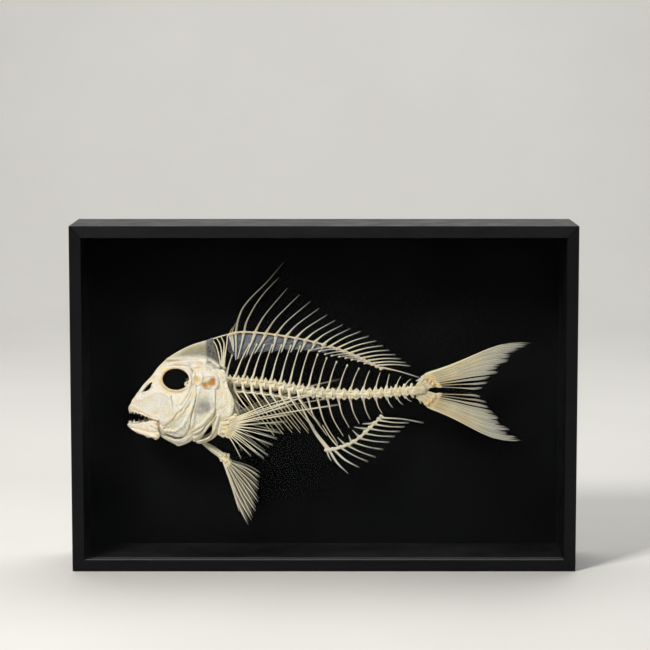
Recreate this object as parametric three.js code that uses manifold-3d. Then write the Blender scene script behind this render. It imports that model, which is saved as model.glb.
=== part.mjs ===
// Skeleton of a sea bream in a glazed display case. Millimetres, +Z up.
// X runs from the snout (low) to the tail, Y from the glass to the back panel,
// and the origin is the middle of the case's underside.
import * as THREE from 'three';
import { mergeVertices } from 'three/addons/utils/BufferGeometryUtils.js';
import Module from 'manifold-3d';

const wasm = await Module();
wasm.setup();

// Case
const CASE_WIDTH = 500;
const CASE_HEIGHT = 344;
const CASE_DEPTH = 100;
const BOARD = 11.5;
const GLASS_SETBACK = 4.5;
const GLASS_THICK = 3;
const PANEL_SETBACK = 83.5;
const PANEL_THICK = 8;
const GROOVE = 1.5;
const GAP = 0.3;

// Skeleton
const MID_Y = -2;
const SNOUT_X = -198;
const GILL_X = -106;
const CHEEK_Z = 162;
const ORBIT = { x: -147.9, z: 189.6, halfLength: 13.6, halfHeight: 10.8 };
const PLATE_THICK = 1.8;
const COLUMN_START = -102.6;
const VERTEBRAE = 22;
const LAST_SPOOL = 20;
const LAST_SPINE = 19;
const TRUNK_VERTEBRAE = 9;
const RIB_PAIRS = 9;
const DORSAL_SPINES = 12;
const DORSAL_RAYS = 10;
const SOFT_SUPPORTS = 8;
const ANAL_RAYS = 9;
const PECTORAL_RAYS = 15;
const PELVIC_RAYS = 5;
const LOBE_RAYS = 9;
const PIN_RADIUS = 1.5;
const JAW_HALF_THICK = 1.9;
const TEETH_PER_JAW = 12;

const BONE = { color: 0xe9e3d0, roughness: 0.62, metalness: 0 };
const FIN = { color: 0xcfccbf, roughness: 0.6, metalness: 0 };
const MEMBRANE = { color: 0x9aa0a2, roughness: 0.5, metalness: 0 };
const BLACK = { color: 0x17181a, roughness: 0.55, metalness: 0 };
const GLASS = { color: 0xdfe6e6, roughness: 0.05, metalness: 0, transparent: true, opacity: 0.2 };
const STEEL = { color: 0x1c1c1e, roughness: 0.4, metalness: 0.6 };

// Side of the square section that stands for a round one of radius 1.
const SQUARE = 1.75;

const LEFT = -1;
const RIGHT = 1;
const SIDES = [['left', LEFT], ['right', RIGHT]];

// ---- Tools -------------------------------------------------------------------------

// A point of the side view, y to the side of the skeleton's middle plane.
function at(x, z, y = 0) {
  return new THREE.Vector3(x, y, z);
}

// Value at t (0 to 1) of a line through evenly spaced keys.
function along(keys, t) {
  const place = THREE.MathUtils.clamp(t, 0, 1) * (keys.length - 1);
  const first = Math.min(Math.floor(place), keys.length - 2);
  return THREE.MathUtils.lerp(keys[first], keys[first + 1], place - first);
}

function radians(degrees) {
  return THREE.MathUtils.degToRad(degrees);
}

// A copy of a closed geometry with each vertex moved by the function.
function mapped(geometry, move) {
  geometry.deleteAttribute('normal');
  geometry.deleteAttribute('uv');
  const shape = mergeVertices(geometry);
  const position = shape.attributes.position;
  const point = new THREE.Vector3();
  for (let i = 0; i < position.count; i += 1) {
    point.fromBufferAttribute(position, i);
    move(point);
    position.setXYZ(i, point.x, point.y, point.z);
  }
  return shape;
}

function signedVolume(points, corners) {
  const [a, b, c] = [0, 1, 2].map(() => new THREE.Vector3());
  let sum = 0;
  for (let i = 0; i < corners.length; i += 3) {
    a.fromArray(points, corners[i] * 3);
    b.fromArray(points, corners[i + 1] * 3);
    c.fromArray(points, corners[i + 2] * 3);
    sum += a.dot(b.cross(c)) / 6;
  }
  return sum;
}

// The solid of a closed geometry, turned the right way out where a mirror turned it in.
function solid(geometry) {
  const vertProperties = new Float32Array(geometry.attributes.position.array);
  const triVerts = new Uint32Array(geometry.index.array);
  if (signedVolume(vertProperties, triVerts) < 0) {
    triVerts.reverse();
  }
  return new wasm.Manifold(new wasm.Mesh({ numProp: 3, vertProperties, triVerts }));
}

function join(solids) {
  return solids.reduce((whole, piece) => whole.add(piece));
}

function box(x, y, z) {
  const shape = new THREE.BoxGeometry(x[1] - x[0], y[1] - y[0], z[1] - z[0]);
  shape.translate((x[0] + x[1]) / 2, (y[0] + y[1]) / 2, (z[0] + z[1]) / 2);
  return solid(mapped(shape, () => {}));
}

// A rod bent along a path, its radius running through the keys; flat thins it sideways.
function rod(path, radii, { sides = 4, steps = 2, flat = 1 } = {}) {
  const curve = path.length === 2 ? new THREE.LineCurve3(...path) : new THREE.CatmullRomCurve3(path);
  const lateral = new THREE.Vector3(0, 1, 0);
  const straight = sides === 4 ? new THREE.BoxGeometry(SQUARE, 1, SQUARE, 1, steps, 1)
    : new THREE.CylinderGeometry(1, 1, 1, sides, steps);
  return solid(mapped(straight, (p) => {
    const t = p.y + 0.5;
    const ahead = curve.getTangent(t);
    const across = new THREE.Vector3().crossVectors(ahead, lateral).normalize();
    const beside = new THREE.Vector3().crossVectors(across, ahead);
    const radius = along(radii, t);
    const spot = curve.getPoint(t);
    spot.addScaledVector(across, p.x * radius);
    spot.addScaledVector(beside, p.z * radius * flat);
    p.copy(spot);
  }));
}

// A bowed line from one point to another, furthest from straight at a share of its length.
function bowed(from, to, bow, where = 0.5) {
  const middle = new THREE.Vector3().lerpVectors(from, to, where);
  const chord = new THREE.Vector3().subVectors(to, from);
  return [from, at(middle.x - chord.z * bow, middle.z + chord.x * bow, middle.y), to];
}

// End of a line of a given length and angle above the horizontal.
function reach(from, length, degrees, side = 0) {
  const angle = radians(degrees);
  return at(from.x + length * Math.cos(angle), from.z + length * Math.sin(angle), from.y + side);
}

// Half the head's width at a place of the side view.
function headHalfWidth(x, z) {
  const back = THREE.MathUtils.clamp((x - SNOUT_X) / (GILL_X - SNOUT_X), 0, 1);
  const widest = 7 + 16 * Math.sin(back * Math.PI / 2);
  const height = z - CHEEK_Z;
  const narrowing = height > 0 ? 1.3 * (height / 75) ** 2 : 0.75 * (height / 45) ** 2;
  return widest * Math.max(0.12, 1 - narrowing);
}

// A smooth line of the side view through points x, z.
function sideCurve(points) {
  return new THREE.SplineCurve(points.map(([x, z]) => new THREE.Vector2(x, z)));
}

// A thin plate of the head's side between two edges of the side view.
function plate(edgeA, edgeB, side, { across = 2, lengthwise = 5, lift = 0, thick = PLATE_THICK } = {}) {
  const [a, b] = [sideCurve(edgeA), sideCurve(edgeB)];
  return solid(mapped(new THREE.BoxGeometry(1, 1, 1, across, lengthwise, 1), (p) => {
    const spot = new THREE.Vector2().lerpVectors(a.getPoint(p.y + 0.5), b.getPoint(p.y + 0.5), p.x + 0.5);
    const outer = headHalfWidth(spot.x, spot.y) + lift;
    p.set(spot.x, side * (p.z > 0 ? outer : outer - thick), spot.y);
  }));
}

function material({ color, ...rest }) {
  return new THREE.MeshStandardMaterial({ color: new THREE.Color(color), ...rest });
}

function mesh(name, body, looks) {
  const { vertProperties, triVerts } = body.getMesh();
  const geometry = new THREE.BufferGeometry();
  geometry.setAttribute('position', new THREE.BufferAttribute(vertProperties, 3));
  geometry.setIndex(new THREE.BufferAttribute(triVerts, 1));
  geometry.computeVertexNormals();
  const result = new THREE.Mesh(geometry, material(looks));
  result.name = name;
  return result;
}

// ---- Case --------------------------------------------------------------------------

// A mitred board: its long face outside, its ends cut at 45 degrees.
function board(corners) {
  const shape = new THREE.Shape(corners.map(([x, z]) => new THREE.Vector2(x, z)));
  const block = new THREE.ExtrudeGeometry(shape, { depth: CASE_DEPTH, bevelEnabled: false });
  return solid(mapped(block, (p) => p.set(p.x, p.z - CASE_DEPTH / 2, p.y)));
}

function caseMeshes() {
  const front = -CASE_DEPTH / 2;
  const glassY = [front + GLASS_SETBACK, front + GLASS_SETBACK + GLASS_THICK];
  const panelY = [front + PANEL_SETBACK, front + PANEL_SETBACK + PANEL_THICK];
  const inX = CASE_WIDTH / 2 - BOARD;
  const paneX = inX + GROOVE - GAP;
  const paneZ = [BOARD - GROOVE + GAP, CASE_HEIGHT - BOARD + GROOVE - GAP];
  const pane = (y) => box([-paneX, paneX], y, paneZ);
  const groove = ([y0, y1]) => box([-paneX - GAP, paneX + GAP], [y0 - GAP, y1 + GAP],
    [paneZ[0] - GAP, paneZ[1] + GAP]);
  const cut = GAP * Math.SQRT1_2;
  const [x, z, xIn, zIn] = [CASE_WIDTH / 2, CASE_HEIGHT, inX, CASE_HEIGHT - BOARD];
  const boards = {
    case_top: [[-x + cut, z], [x - cut, z], [xIn - cut, zIn], [-xIn + cut, zIn]],
    case_bottom: [[-x + cut, 0], [x - cut, 0], [xIn - cut, BOARD], [-xIn + cut, BOARD]],
    case_left: [[-x, cut], [-x, z - cut], [-xIn, zIn - cut], [-xIn, BOARD + cut]],
    case_right: [[x, cut], [x, z - cut], [xIn, zIn - cut], [xIn, BOARD + cut]],
  };
  const grooves = groove(glassY).add(groove(panelY));
  return [
    ...Object.entries(boards).map(([name, corners]) => mesh(name, board(corners).subtract(grooves), BLACK)),
    mesh('glass', pane(glassY), GLASS),
    mesh('back_panel', pane(panelY), BLACK),
  ];
}

// ---- Head --------------------------------------------------------------------------

// Half widths and heights of the cranium at places x from its front to its back.
const CRANIUM = {
  x: [-173, -160.5, -148, -135.5, -123.5, -112, -103.3],
  crestTop: [189.2, 204.1, 213, 219.4, 223.8, 227, 196],
  crestHalf: [4, 2.6, 1.6, 1.2, 1, 1, 2.5],
  roof: [187.5, 199, 204, 206, 205, 202.5, 195],
  roofHalf: [5, 9, 12.5, 13.5, 13.5, 12.5, 8],
  floor: [180, 173.3, 169.3, 168.8, 171, 174.5, 177],
  floorHalf: [4, 4.8, 3.8, 5.5, 8.5, 9.5, 7],
};

// How far the shoulders of the roof lie below its middle.
const ROOF_DROP = 3;

// Corners of the right half of a section of the cranium, from the crest to the floor.
function craniumSection(t) {
  const value = (name) => along(CRANIUM[name], t);
  const low = value('floor');
  const shoulder = value('roof') - ROOF_DROP;
  return [
    [value('crestHalf'), value('crestTop')],
    [value('crestHalf') * 1.3, value('roof')],
    [value('roofHalf'), shoulder],
    [value('roofHalf') * 0.92, THREE.MathUtils.lerp(low, shoulder, 0.45)],
    [value('floorHalf'), low],
  ];
}

function craniumBody() {
  const corners = 10;
  const block = solid(mapped(new THREE.CylinderGeometry(1, 1, 1, corners, 12), (p) => {
    const t = p.y + 0.5;
    const section = craniumSection(t);
    const x = along(CRANIUM.x, t);
    if (Math.hypot(p.x, p.z) < 0.5) {
      p.set(x, 0, along([185, 190, 190, 190, 190, 187], t));
      return;
    }
    const turn = Math.round((Math.atan2(p.x, p.z) / (2 * Math.PI)) * corners - 0.5 + corners) % corners;
    const [y, z] = turn < 5 ? section[turn] : section[corners - 1 - turn];
    p.set(x, turn < 5 ? y : -y, z);
  }));
  return block.subtract(orbitHole(1.14, -1.8));
}

// The hole of both eye sockets, an ellipse through the head from side to side.
function orbitHole(scale, lower = 0) {
  const hole = new THREE.CylinderGeometry(1, 1, 80, 16, 1);
  return solid(mapped(hole, (p) => p.set(
    ORBIT.x + p.x * ORBIT.halfLength * scale, p.y, ORBIT.z + lower + p.z * ORBIT.halfHeight * scale)));
}

// A tooth stands its height out of the jaw and is sunk below the jaw's edge.
const TOOTH = { radius: 1.1, sides: 3, sunk: 1.5, heights: [1.5, 2, 3.6, 3.6, 2, 1.5] };

// Teeth along one edge of a jaw: stout at the front, short behind.
function teeth(edge, down) {
  const curve = new THREE.CatmullRomCurve3(edge);
  return Array.from({ length: TEETH_PER_JAW }, (_, i) => {
    const t = (i + 0.5) / TEETH_PER_JAW;
    const root = curve.getPoint(t);
    const height = along(TOOTH.heights, t);
    const cone = new THREE.ConeGeometry(TOOTH.radius, height + TOOTH.sunk, TOOTH.sides);
    cone.rotateX(down ? -Math.PI / 2 : Math.PI / 2);
    cone.translate(root.x, root.y, root.z + (down ? 1 : -1) * (TOOTH.sunk - height) / 2);
    return solid(mapped(cone, () => {}));
  });
}

// A jaw bent in a U round the mouth. The path is one side, from the joint to the front.
function jawBar(path, halfHeights) {
  const mirror = path.slice(0, -1).reverse().map((p) => at(p.x, p.z, -p.y));
  const curve = new THREE.CatmullRomCurve3([...path, ...mirror]);
  const upright = new THREE.Vector3(0, 0, 1);
  return solid(mapped(new THREE.CylinderGeometry(1, 1, 1, 6, 10), (p) => {
    const t = p.y + 0.5;
    const ahead = curve.getTangent(t);
    const across = new THREE.Vector3().crossVectors(ahead, upright).normalize();
    const spot = curve.getPoint(t);
    const height = along([...halfHeights, ...halfHeights.slice(0, -1).reverse()], t);
    spot.addScaledVector(across, p.x * JAW_HALF_THICK);
    spot.z += p.z * height;
    p.copy(spot);
  }));
}

function lowerJaw() {
  const side = [at(-160.5, 134.5, -13.5), at(-172, 136, -11.2), at(-184, 137.6, -8.4),
    at(-193.4, 138.6, -4.6), at(-196, 138.9, 0)];
  const rim = side.map((p) => at(p.x - 0.4, p.z + 4.6, p.y));
  const edge = [...rim.slice(1), ...rim.slice(1, -1).reverse().map((p) => at(p.x, p.z, -p.y))];
  return join([jawBar(side, [6.5, 7.2, 6.4, 5.2, 4.6]), ...teeth(edge, false)]);
}

function upperJaw() {
  const side = [at(-170, 148.6, -13.8), at(-178, 151.4, -11.6), at(-187, 154.3, -8.6),
    at(-193.8, 156.4, -4.6), at(-195.4, 157, 0)];
  const rim = side.map((p) => at(p.x, p.z - 2.8, p.y));
  const edge = [...rim.slice(1), ...rim.slice(1, -1).reverse().map((p) => at(p.x, p.z, -p.y))];
  const ascending = rod([at(-193.4, 158), at(-188.2, 168.6), at(-181.4, 177.6), at(-174.6, 184.2)],
    [3.4, 3.2, 2.8, 2], { sides: 6, steps: 4 });
  return join([jawBar(side, [2, 3.4, 4, 4.4, 4.8]), ascending, ...teeth(edge, true)]);
}

function maxilla(side) {
  return plate([[-189, 164], [-181, 158], [-173, 150.5], [-168.5, 143]],
    [[-187, 168.5], [-177.5, 164], [-167.5, 153.5], [-163.8, 141.5]], side,
    { across: 2, lengthwise: 5, lift: -2.4, thick: 1.6 });
}

function cheek(side) {
  const lower = [[-189.5, 168.5], [-179, 161.5], [-169, 153.5], [-160, 141], [-147.5, 148.5], [-138.5, 163],
    [-132.8, 180]];
  const upper = [[-187.5, 172.5], [-178, 181], [-170.5, 189], [-163, 192.5], [-148, 177.5], [-134, 185],
    [-131.6, 193]];
  return plate(lower, upper, side, { across: 3, lengthwise: 11 }).subtract(
    side === LEFT ? orbitHole(0.98, -0.5) : orbitHole(1.1, -2.2));
}

function preopercle(side) {
  const front = [[-131.2, 184], [-138, 163], [-147.2, 147.4], [-158.6, 138]];
  const back = [[-128.6, 184], [-128.2, 163], [-134.5, 141], [-145, 129], [-160.4, 130.8]];
  return plate(front, back, side, { across: 2, lengthwise: 7, lift: 0.4, thick: 2.4 });
}

function interopercle(side) {
  const upper = [[-162.6, 129.8], [-145.4, 127.8], [-135, 139.2]];
  const lower = [[-163, 126.6], [-145.1, 118.9], [-128.8, 124]];
  return plate(upper, lower, side, { across: 2, lengthwise: 4 });
}

function opercle(side) {
  const front = [[-127.8, 183.6], [-127.4, 163], [-133.2, 142.3], [-133.8, 139]];
  const back = [[-107.6, 183.6], [-106.2, 166], [-109.5, 151], [-120, 137.5], [-128, 125.6]];
  return plate(front, back, side, { across: 3, lengthwise: 6 });
}

// The bone that hangs the jaws and gill cover from the cranium.
function hyomandibular(side) {
  return plate([[-130.9, 195], [-130, 184.6]], [[-107, 193.5], [-107.4, 184.4]], side,
    { across: 3, lengthwise: 2 });
}

function headMeshes() {
  const paired = { cheek, maxilla, preopercle, interopercle, opercle, hyomandibular };
  return [
    mesh('cranium', craniumBody(), BONE),
    mesh('upper_jaw', upperJaw(), BONE),
    mesh('lower_jaw', lowerJaw(), BONE),
    ...Object.entries(paired).flatMap(([name, build]) => SIDES.map(
      ([word, side]) => mesh(`${name}_${word}`, build(side), BONE))),
  ];
}

// ---- Backbone ----------------------------------------------------------------------

const COLUMN = new THREE.CatmullRomCurve3([at(COLUMN_START, 184.6), at(-60, 180.8), at(-14, 173.4),
  at(30, 171), at(76, 173.8), at(103.6, 176.6)]);
const VERTEBRA_LENGTHS = [8.1, 9.4, 9.5, 9.8, 13.2, 8, 6];
const COLUMN_RADII = [5, 5.4, 5.8, 5.6, 5, 4.6, 4.2, 3.6];

// Where each vertebra starts, as a share of the column's length.
const VERTEBRA_STARTS = [0];
for (let i = 0; i < VERTEBRAE; i += 1) {
  VERTEBRA_STARTS.push(VERTEBRA_STARTS[i] + along(VERTEBRA_LENGTHS, i / (VERTEBRAE - 1)));
}
VERTEBRA_STARTS.forEach((start, i) => {
  VERTEBRA_STARTS[i] = start / VERTEBRA_STARTS[VERTEBRAE];
});
VERTEBRA_STARTS[VERTEBRAE] = 1;

function vertebraMiddle(i) {
  return COLUMN.getPointAt((VERTEBRA_STARTS[i] + VERTEBRA_STARTS[i + 1]) / 2);
}

// A run of spool-shaped vertebrae, wide at their ends and narrow between.
function centra(first, last) {
  const count = last - first;
  const from = VERTEBRA_STARTS[first];
  const to = VERTEBRA_STARTS[last];
  return solid(mapped(new THREE.CylinderGeometry(1, 1, 1, 6, count * 2), (p) => {
    const ring = Math.round((p.y + 0.5) * count * 2);
    const vertebra = first + Math.floor(ring / 2);
    let t = ring % 2 ? (VERTEBRA_STARTS[vertebra] + VERTEBRA_STARTS[vertebra + 1]) / 2
      : VERTEBRA_STARTS[vertebra];
    t = THREE.MathUtils.clamp(t, from + (first ? 0.0012 : 0), to);
    const radius = along(COLUMN_RADII, t) * (ring % 2 ? 0.72 : 1);
    const ahead = COLUMN.getTangentAt(t);
    const spot = COLUMN.getPointAt(t);
    spot.add(at(-ahead.z * p.x * radius, ahead.x * p.x * radius, p.z * radius * 0.95));
    p.copy(spot);
  }));
}

// Rearward lean and height of the spines above and below the column, from the first to the last.
const NEURAL = { lean: [15.3, 11, 11, 8.8, 8.6, 3.4, 9], height: [38, 39.5, 43, 35, 26, 18.8, 9] };
const HAEMAL = { lean: [20.5, 11, 7.6, 6.8, 8], drop: [52.5, 34, 25.6, 15.2, 10.5] };

function neuralSpine(i) {
  const middle = vertebraMiddle(i);
  const lean = i ? along(NEURAL.lean, (i - 1) / 18) : 6;
  const height = i ? along(NEURAL.height, (i - 1) / 18) : 26;
  const foot = at(middle.x + 0.2, middle.z + 2);
  return [foot, at(foot.x + lean * 0.46, middle.z + 3 + height * 0.5),
    at(middle.x + lean, middle.z + height)];
}

function haemalSpine(i) {
  const order = i - TRUNK_VERTEBRAE;
  const middle = vertebraMiddle(i);
  const lean = order ? along(HAEMAL.lean, (order - 1) / 8) : 19;
  const drop = order ? along(HAEMAL.drop, (order - 1) / 8) : 44.5;
  const root = at(middle.x - 1 + 0.25 * order, middle.z - 2);
  return [root, at(root.x + lean * 0.36, middle.z - 3 - drop * 0.5),
    at(middle.x + lean, middle.z - drop)];
}

function vertebraeTrunk() {
  const spines = Array.from({ length: TRUNK_VERTEBRAE }, (_, i) => rod(neuralSpine(i), [1.9, 0.9, 0.55]));
  return join([centra(0, TRUNK_VERTEBRAE), ...spines]);
}

function vertebraeTail() {
  const order = Array.from({ length: LAST_SPINE - TRUNK_VERTEBRAE }, (_, i) => i + TRUNK_VERTEBRAE);
  return join([centra(TRUNK_VERTEBRAE, LAST_SPOOL),
    ...order.map((i) => rod(neuralSpine(i), [1.7, 0.85, 0.5])),
    ...order.map((i) => rod(haemalSpine(i), [1.7, 0.9, 0.5]))]);
}

// Where the ribs hang from their vertebra, and where they end, from the first to the last.
const RIB_ROOT = { ahead: 1, below: 8.5, beside: 6.2 };
const RIB_TIPS = { x: [-77, -50, -32, -15.6, -4], z: [155, 131.5, 134, 133, 140], y: [15, 14, 12, 9, 5] };
const RIB_BULGE = [16.5, 18, 9];

function ribRoot(i, side) {
  const middle = vertebraMiddle(i);
  return at(middle.x + RIB_ROOT.ahead, middle.z - RIB_ROOT.below, side * RIB_ROOT.beside);
}

// Ribs of one side, each grown from a side process; the processes touch in a row.
function ribs(side) {
  const pieces = [];
  for (let i = 0; i < RIB_PAIRS; i += 1) {
    const s = i / (RIB_PAIRS - 1);
    const root = ribRoot(i, side);
    const tip = at(along(RIB_TIPS.x, s), along(RIB_TIPS.z, s), side * along(RIB_TIPS.y, s));
    const half = new THREE.Vector3().lerpVectors(root, tip, 0.45);
    const bulge = at(half.x - 1.5, half.z + 1.5, side * along(RIB_BULGE, s));
    pieces.push(rod([root, bulge, tip], [1.2, 0.8, 0.45], { steps: 2 }));
    if (i < RIB_PAIRS - 1) {
      pieces.push(rod([root, ribRoot(i + 1, side)], [1.3, 1.1], { steps: 1 }));
    }
  }
  return join(pieces);
}

// ---- Dorsal fin ---------------------------------------------------------------------

const RIDGE = new THREE.CatmullRomCurve3([at(-97, 230.8), at(-82, 234), at(-50, 231.4), at(-12, 224.4),
  at(25, 213), at(58.5, 196.8)]);

// Point of a curve that climbs steadily in x, at a given x.
function atX(curve, x) {
  let [low, high] = [0, 1];
  for (let i = 0; i < 24; i += 1) {
    const middle = (low + high) / 2;
    if (curve.getPoint(middle).x < x) {
      low = middle;
    } else {
      high = middle;
    }
  }
  return curve.getPoint((low + high) / 2);
}

// The first spines stand at their own places: two short ones, then the two longest.
const FRONT_BASES = [-94.6, -92.2, -88.4];
const SHORT_SPINES = { lengths: [8, 11], angles: [70, 72] };
const LONG_SPINES = {
  2: { through: [at(-79.5, 256), at(-62.5, 276.5), at(-40, 304)], radii: [1.3, 1.1, 0.8, 0.4] },
  3: { through: [at(-71.5, 256), at(-58, 275), at(-45, 289)], radii: [1.5, 1.1, 0.8, 0.4] },
};
const FRONT_SUPPORT_FEET = [at(-91.4, 216), at(-90.6, 214.5), at(-88.6, 206), at(-86.9, 207)];

// Lengths and angles of the other spines, and how deep their supports reach, front to back.
const SPINES = { lengths: [54, 48.5, 39.5, 34, 30.5], angles: [53.8, 45, 38.2, 32, 30.5] };
const SUPPORT_DEPTHS = [22, 17, 13, 5];

// Place of a spine in the row of the other spines, 0 for the first and 1 for the last.
function spineShare(i) {
  const first = FRONT_SUPPORT_FEET.length;
  return (i - first) / (DORSAL_SPINES - 1 - first);
}

function dorsalSpineBase(i) {
  const order = i - FRONT_BASES.length;
  return atX(RIDGE, order < 0 ? FRONT_BASES[i] : -80 + 11.2 * order - 0.15 * order * order);
}

function dorsalRayBase(j) {
  return atX(RIDGE, 7 + 7.2 * j - 0.17 * j * j);
}

function dorsalSpine(i) {
  const front = i < FRONT_SUPPORT_FEET.length;
  const base = dorsalSpineBase(i).add(at(0, front ? 0 : 0.9));
  if (LONG_SPINES[i]) {
    return rod([base, ...LONG_SPINES[i].through], LONG_SPINES[i].radii, { steps: 4 });
  }
  const length = front ? SHORT_SPINES.lengths[i] : along(SPINES.lengths, spineShare(i));
  const angle = front ? SHORT_SPINES.angles[i] : along(SPINES.angles, spineShare(i));
  const tip = reach(base, length, angle);
  return rod(bowed(base, tip, 0.04, 0.36), [1.3, 0.9, 0.35], { steps: front ? 1 : 3 });
}

function dorsalRay(j) {
  const base = dorsalRayBase(j).add(at(0, 1.4));
  const last = j === DORSAL_RAYS - 1;
  const tip = last ? reach(base, 39.7, -15.3) : reach(base, 33, 25.6 - 5.1 * j + 0.22 * j * j);
  return rod(bowed(base, tip, last ? 0.02 : 0.035), [1.1, 0.8, 0.4], { steps: 2 });
}

// Support of a soft ray, sloping forwards under the ridge.
function softSupport(j) {
  const base = dorsalRayBase(j);
  const foot = at(base.x - 12, base.z - along([6.5, 4.2, 0.8], j / (SOFT_SUPPORTS - 1)));
  return rod([foot, at(foot.x + 7, foot.z + 3.2), base], [0.75, 0.7, 0.9], { steps: 2 });
}

// Support of a fin spine, from the ridge down beside the neural spine ahead of it.
function pterygiophore(i) {
  const base = dorsalSpineBase(i);
  if (i < FRONT_SUPPORT_FEET.length) {
    return rod([base, FRONT_SUPPORT_FEET[i]], [1, 0.7], { steps: 1 });
  }
  let ahead = 0;
  while (atHeight(neuralSpine(ahead + 1), base.z) < base.x) {
    ahead += 1;
  }
  const foot = base.z - along(SUPPORT_DEPTHS, spineShare(i));
  const lower = at(atHeight(neuralSpine(ahead), foot) + 2.3, foot);
  return rod([base, lower], [1.1, 0.7], { steps: 1 });
}

// x of a path of three points at a given height, carried on past its ends.
function atHeight([a, b, c], z) {
  const [from, to] = (z - b.z) * (c.z - b.z) > 0 ? [b, c] : [a, b];
  return from.x + (to.x - from.x) * (z - from.z) / (to.z - from.z);
}

function ridgePart(from, to) {
  const points = [0, 0.33, 0.67, 1].map((t) => atX(RIDGE, THREE.MathUtils.lerp(from, to, t)));
  return rod(points, [1.6, 1.7, 1.7, 1.6], { sides: 6, steps: 6 });
}

function dorsalFinSpiny() {
  const order = Array.from({ length: DORSAL_SPINES }, (_, i) => i);
  return join([ridgePart(-97, 2.6), ...order.map(dorsalSpine), ...order.map(pterygiophore)]);
}

function dorsalFinSoft() {
  const order = Array.from({ length: DORSAL_RAYS }, (_, j) => j);
  return join([ridgePart(4.2, 58.5), ...order.map(dorsalRay),
    ...order.slice(0, SOFT_SUPPORTS).map(softSupport)]);
}

// Top of each nape bone, and where its middle passes.
const NAPE_BONES = [
  { x: -110.3, z: 227.2, middleX: -107 },
  { x: -107.6, z: 228.2, middleX: -103.9 },
  { x: -103.2, z: 229.5, middleX: -100.3 },
  { x: -98.5, z: 230.9, middleX: -98.6 },
];

// Slender bones between the nape and the fin, joined at their feet and by a strip of dry skin.
function supraneurals() {
  const foot = at(-102.2, 200.5);
  const bones = NAPE_BONES.map(({ x, z, middleX }) => rod([at(x, z), at(middleX, z - 9), foot],
    [0.8, 0.85, 1.5], { steps: 3 }));
  return join([rod([at(-110.7, 227.3), at(-98.2, 231.2)], [0.6, 0.6], { steps: 1 }), ...bones]);
}

const WEB = {
  top: [[-96, 228.5], [-82, 231.5], [-50, 229], [-12, 222], [3, 218]],
  low: [[-92, 204], [-82, 205], [-70, 213], [-45, 218.5], [-25, 217], [3, 212]],
  near: 2.3,
  far: 2.9,
};

// Dried web between the supports, on their far side.
function dorsalMembrane() {
  const [top, low] = [sideCurve(WEB.top), sideCurve(WEB.low)];
  return solid(mapped(new THREE.BoxGeometry(1, 1, 1, 12, 1, 1), (p) => {
    const t = p.x + 0.5;
    const spot = new THREE.Vector2().lerpVectors(low.getPoint(t), top.getPoint(t), p.y + 0.5);
    p.set(spot.x, p.z > 0 ? WEB.far : WEB.near, spot.y);
  }));
}

// ---- Anal fin -----------------------------------------------------------------------

const ANAL_BASE = new THREE.CatmullRomCurve3([at(2, 113.8), at(16, 116.6), at(33.5, 125), at(58.5, 148.6)]);

const ANAL_SPINES = [
  { x: 2.9, length: 11.5, angle: -68, radius: 0.9 },
  { x: 5.2, length: 30.5, angle: -51.6, radius: 1.3 },
  { x: 9.6, length: 31.5, angle: -35.8, radius: 1.3 },
];

function analFin() {
  const spines = ANAL_SPINES.map(({ x, length, angle, radius }) => {
    const base = atX(ANAL_BASE, x);
    return rod(bowed(base, reach(base, length, angle), -0.06), [radius, radius * 0.7, 0.35], { steps: 2 });
  });
  const rays = Array.from({ length: ANAL_RAYS }, (_, j) => {
    const base = atX(ANAL_BASE, Math.min(17.7 + 6.8 * j - 0.2 * j * j, 58.2)).add(at(0, -1.4));
    const last = j === ANAL_RAYS - 1;
    const angle = last ? -7 : -5 - 22 * Math.exp(-j * j / 4.2);
    return rod(bowed(base, reach(base, last ? 42.5 : 30, angle), last ? 0.03 : -0.03), [1.1, 0.8, 0.4],
      { steps: 2 });
  });
  return join([rod(ANAL_BASE.getPoints(3), [2, 1.7, 1.7, 1.5], { sides: 6, steps: 5 }),
    ...spines, ...rays]);
}

// Where a slender support leaves the base, and its top.
const ANAL_SUPPORTS = [
  { x: 22, top: at(13.8, 127) },
  { x: 28, top: at(24.8, 129.2) },
  { x: 36, top: at(28.8, 134.4) },
  { x: 45, top: at(30.5, 137.6) },
  { x: 51, top: at(38.8, 141) },
];

// Supports of the anal fin, joined along the base bar, each between two haemal spines.
function analSupports() {
  const first = rod([at(4.2, 115.2), at(-8.3, 131.5), at(-17, 147), at(-23, 160)],
    [2.9, 2.2, 1.3, 0.8], { steps: 4 });
  const second = rod([at(15, 116.6), at(6.6, 126.5), at(-1.5, 139.5)], [0.9, 0.8, 0.6], { steps: 2 });
  const others = ANAL_SUPPORTS.map(({ x, top }) => rod([atX(ANAL_BASE, x), top], [0.9, 0.6], { steps: 1 }));
  return [first, second, ...others];
}

// ---- Tail fin -----------------------------------------------------------------------

// A fan of flat pieces side by side: ribbed in thickness and notched between the tips.
function ribbedFan(count, point, { rows = 4, thick = 1.7, web = 0.6, taper = 0.55, notch = 0.06 } = {}) {
  return solid(mapped(new THREE.BoxGeometry(1, 1, 1, count * 2, rows, 1), (p) => {
    const column = Math.round((p.x + 0.5) * count * 2);
    const between = column % 2 === 0 && column > 0 && column < count * 2;
    const v = (p.y + 0.5) * (between && p.y === 0.5 ? 1 - notch : 1);
    const half = (between ? web : thick) / 2 * THREE.MathUtils.lerp(1, taper, v);
    const spot = point(p.x + 0.5, v);
    p.set(spot.x, spot.y + (p.z > 0 ? half : -half), spot.z);
  }));
}

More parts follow.
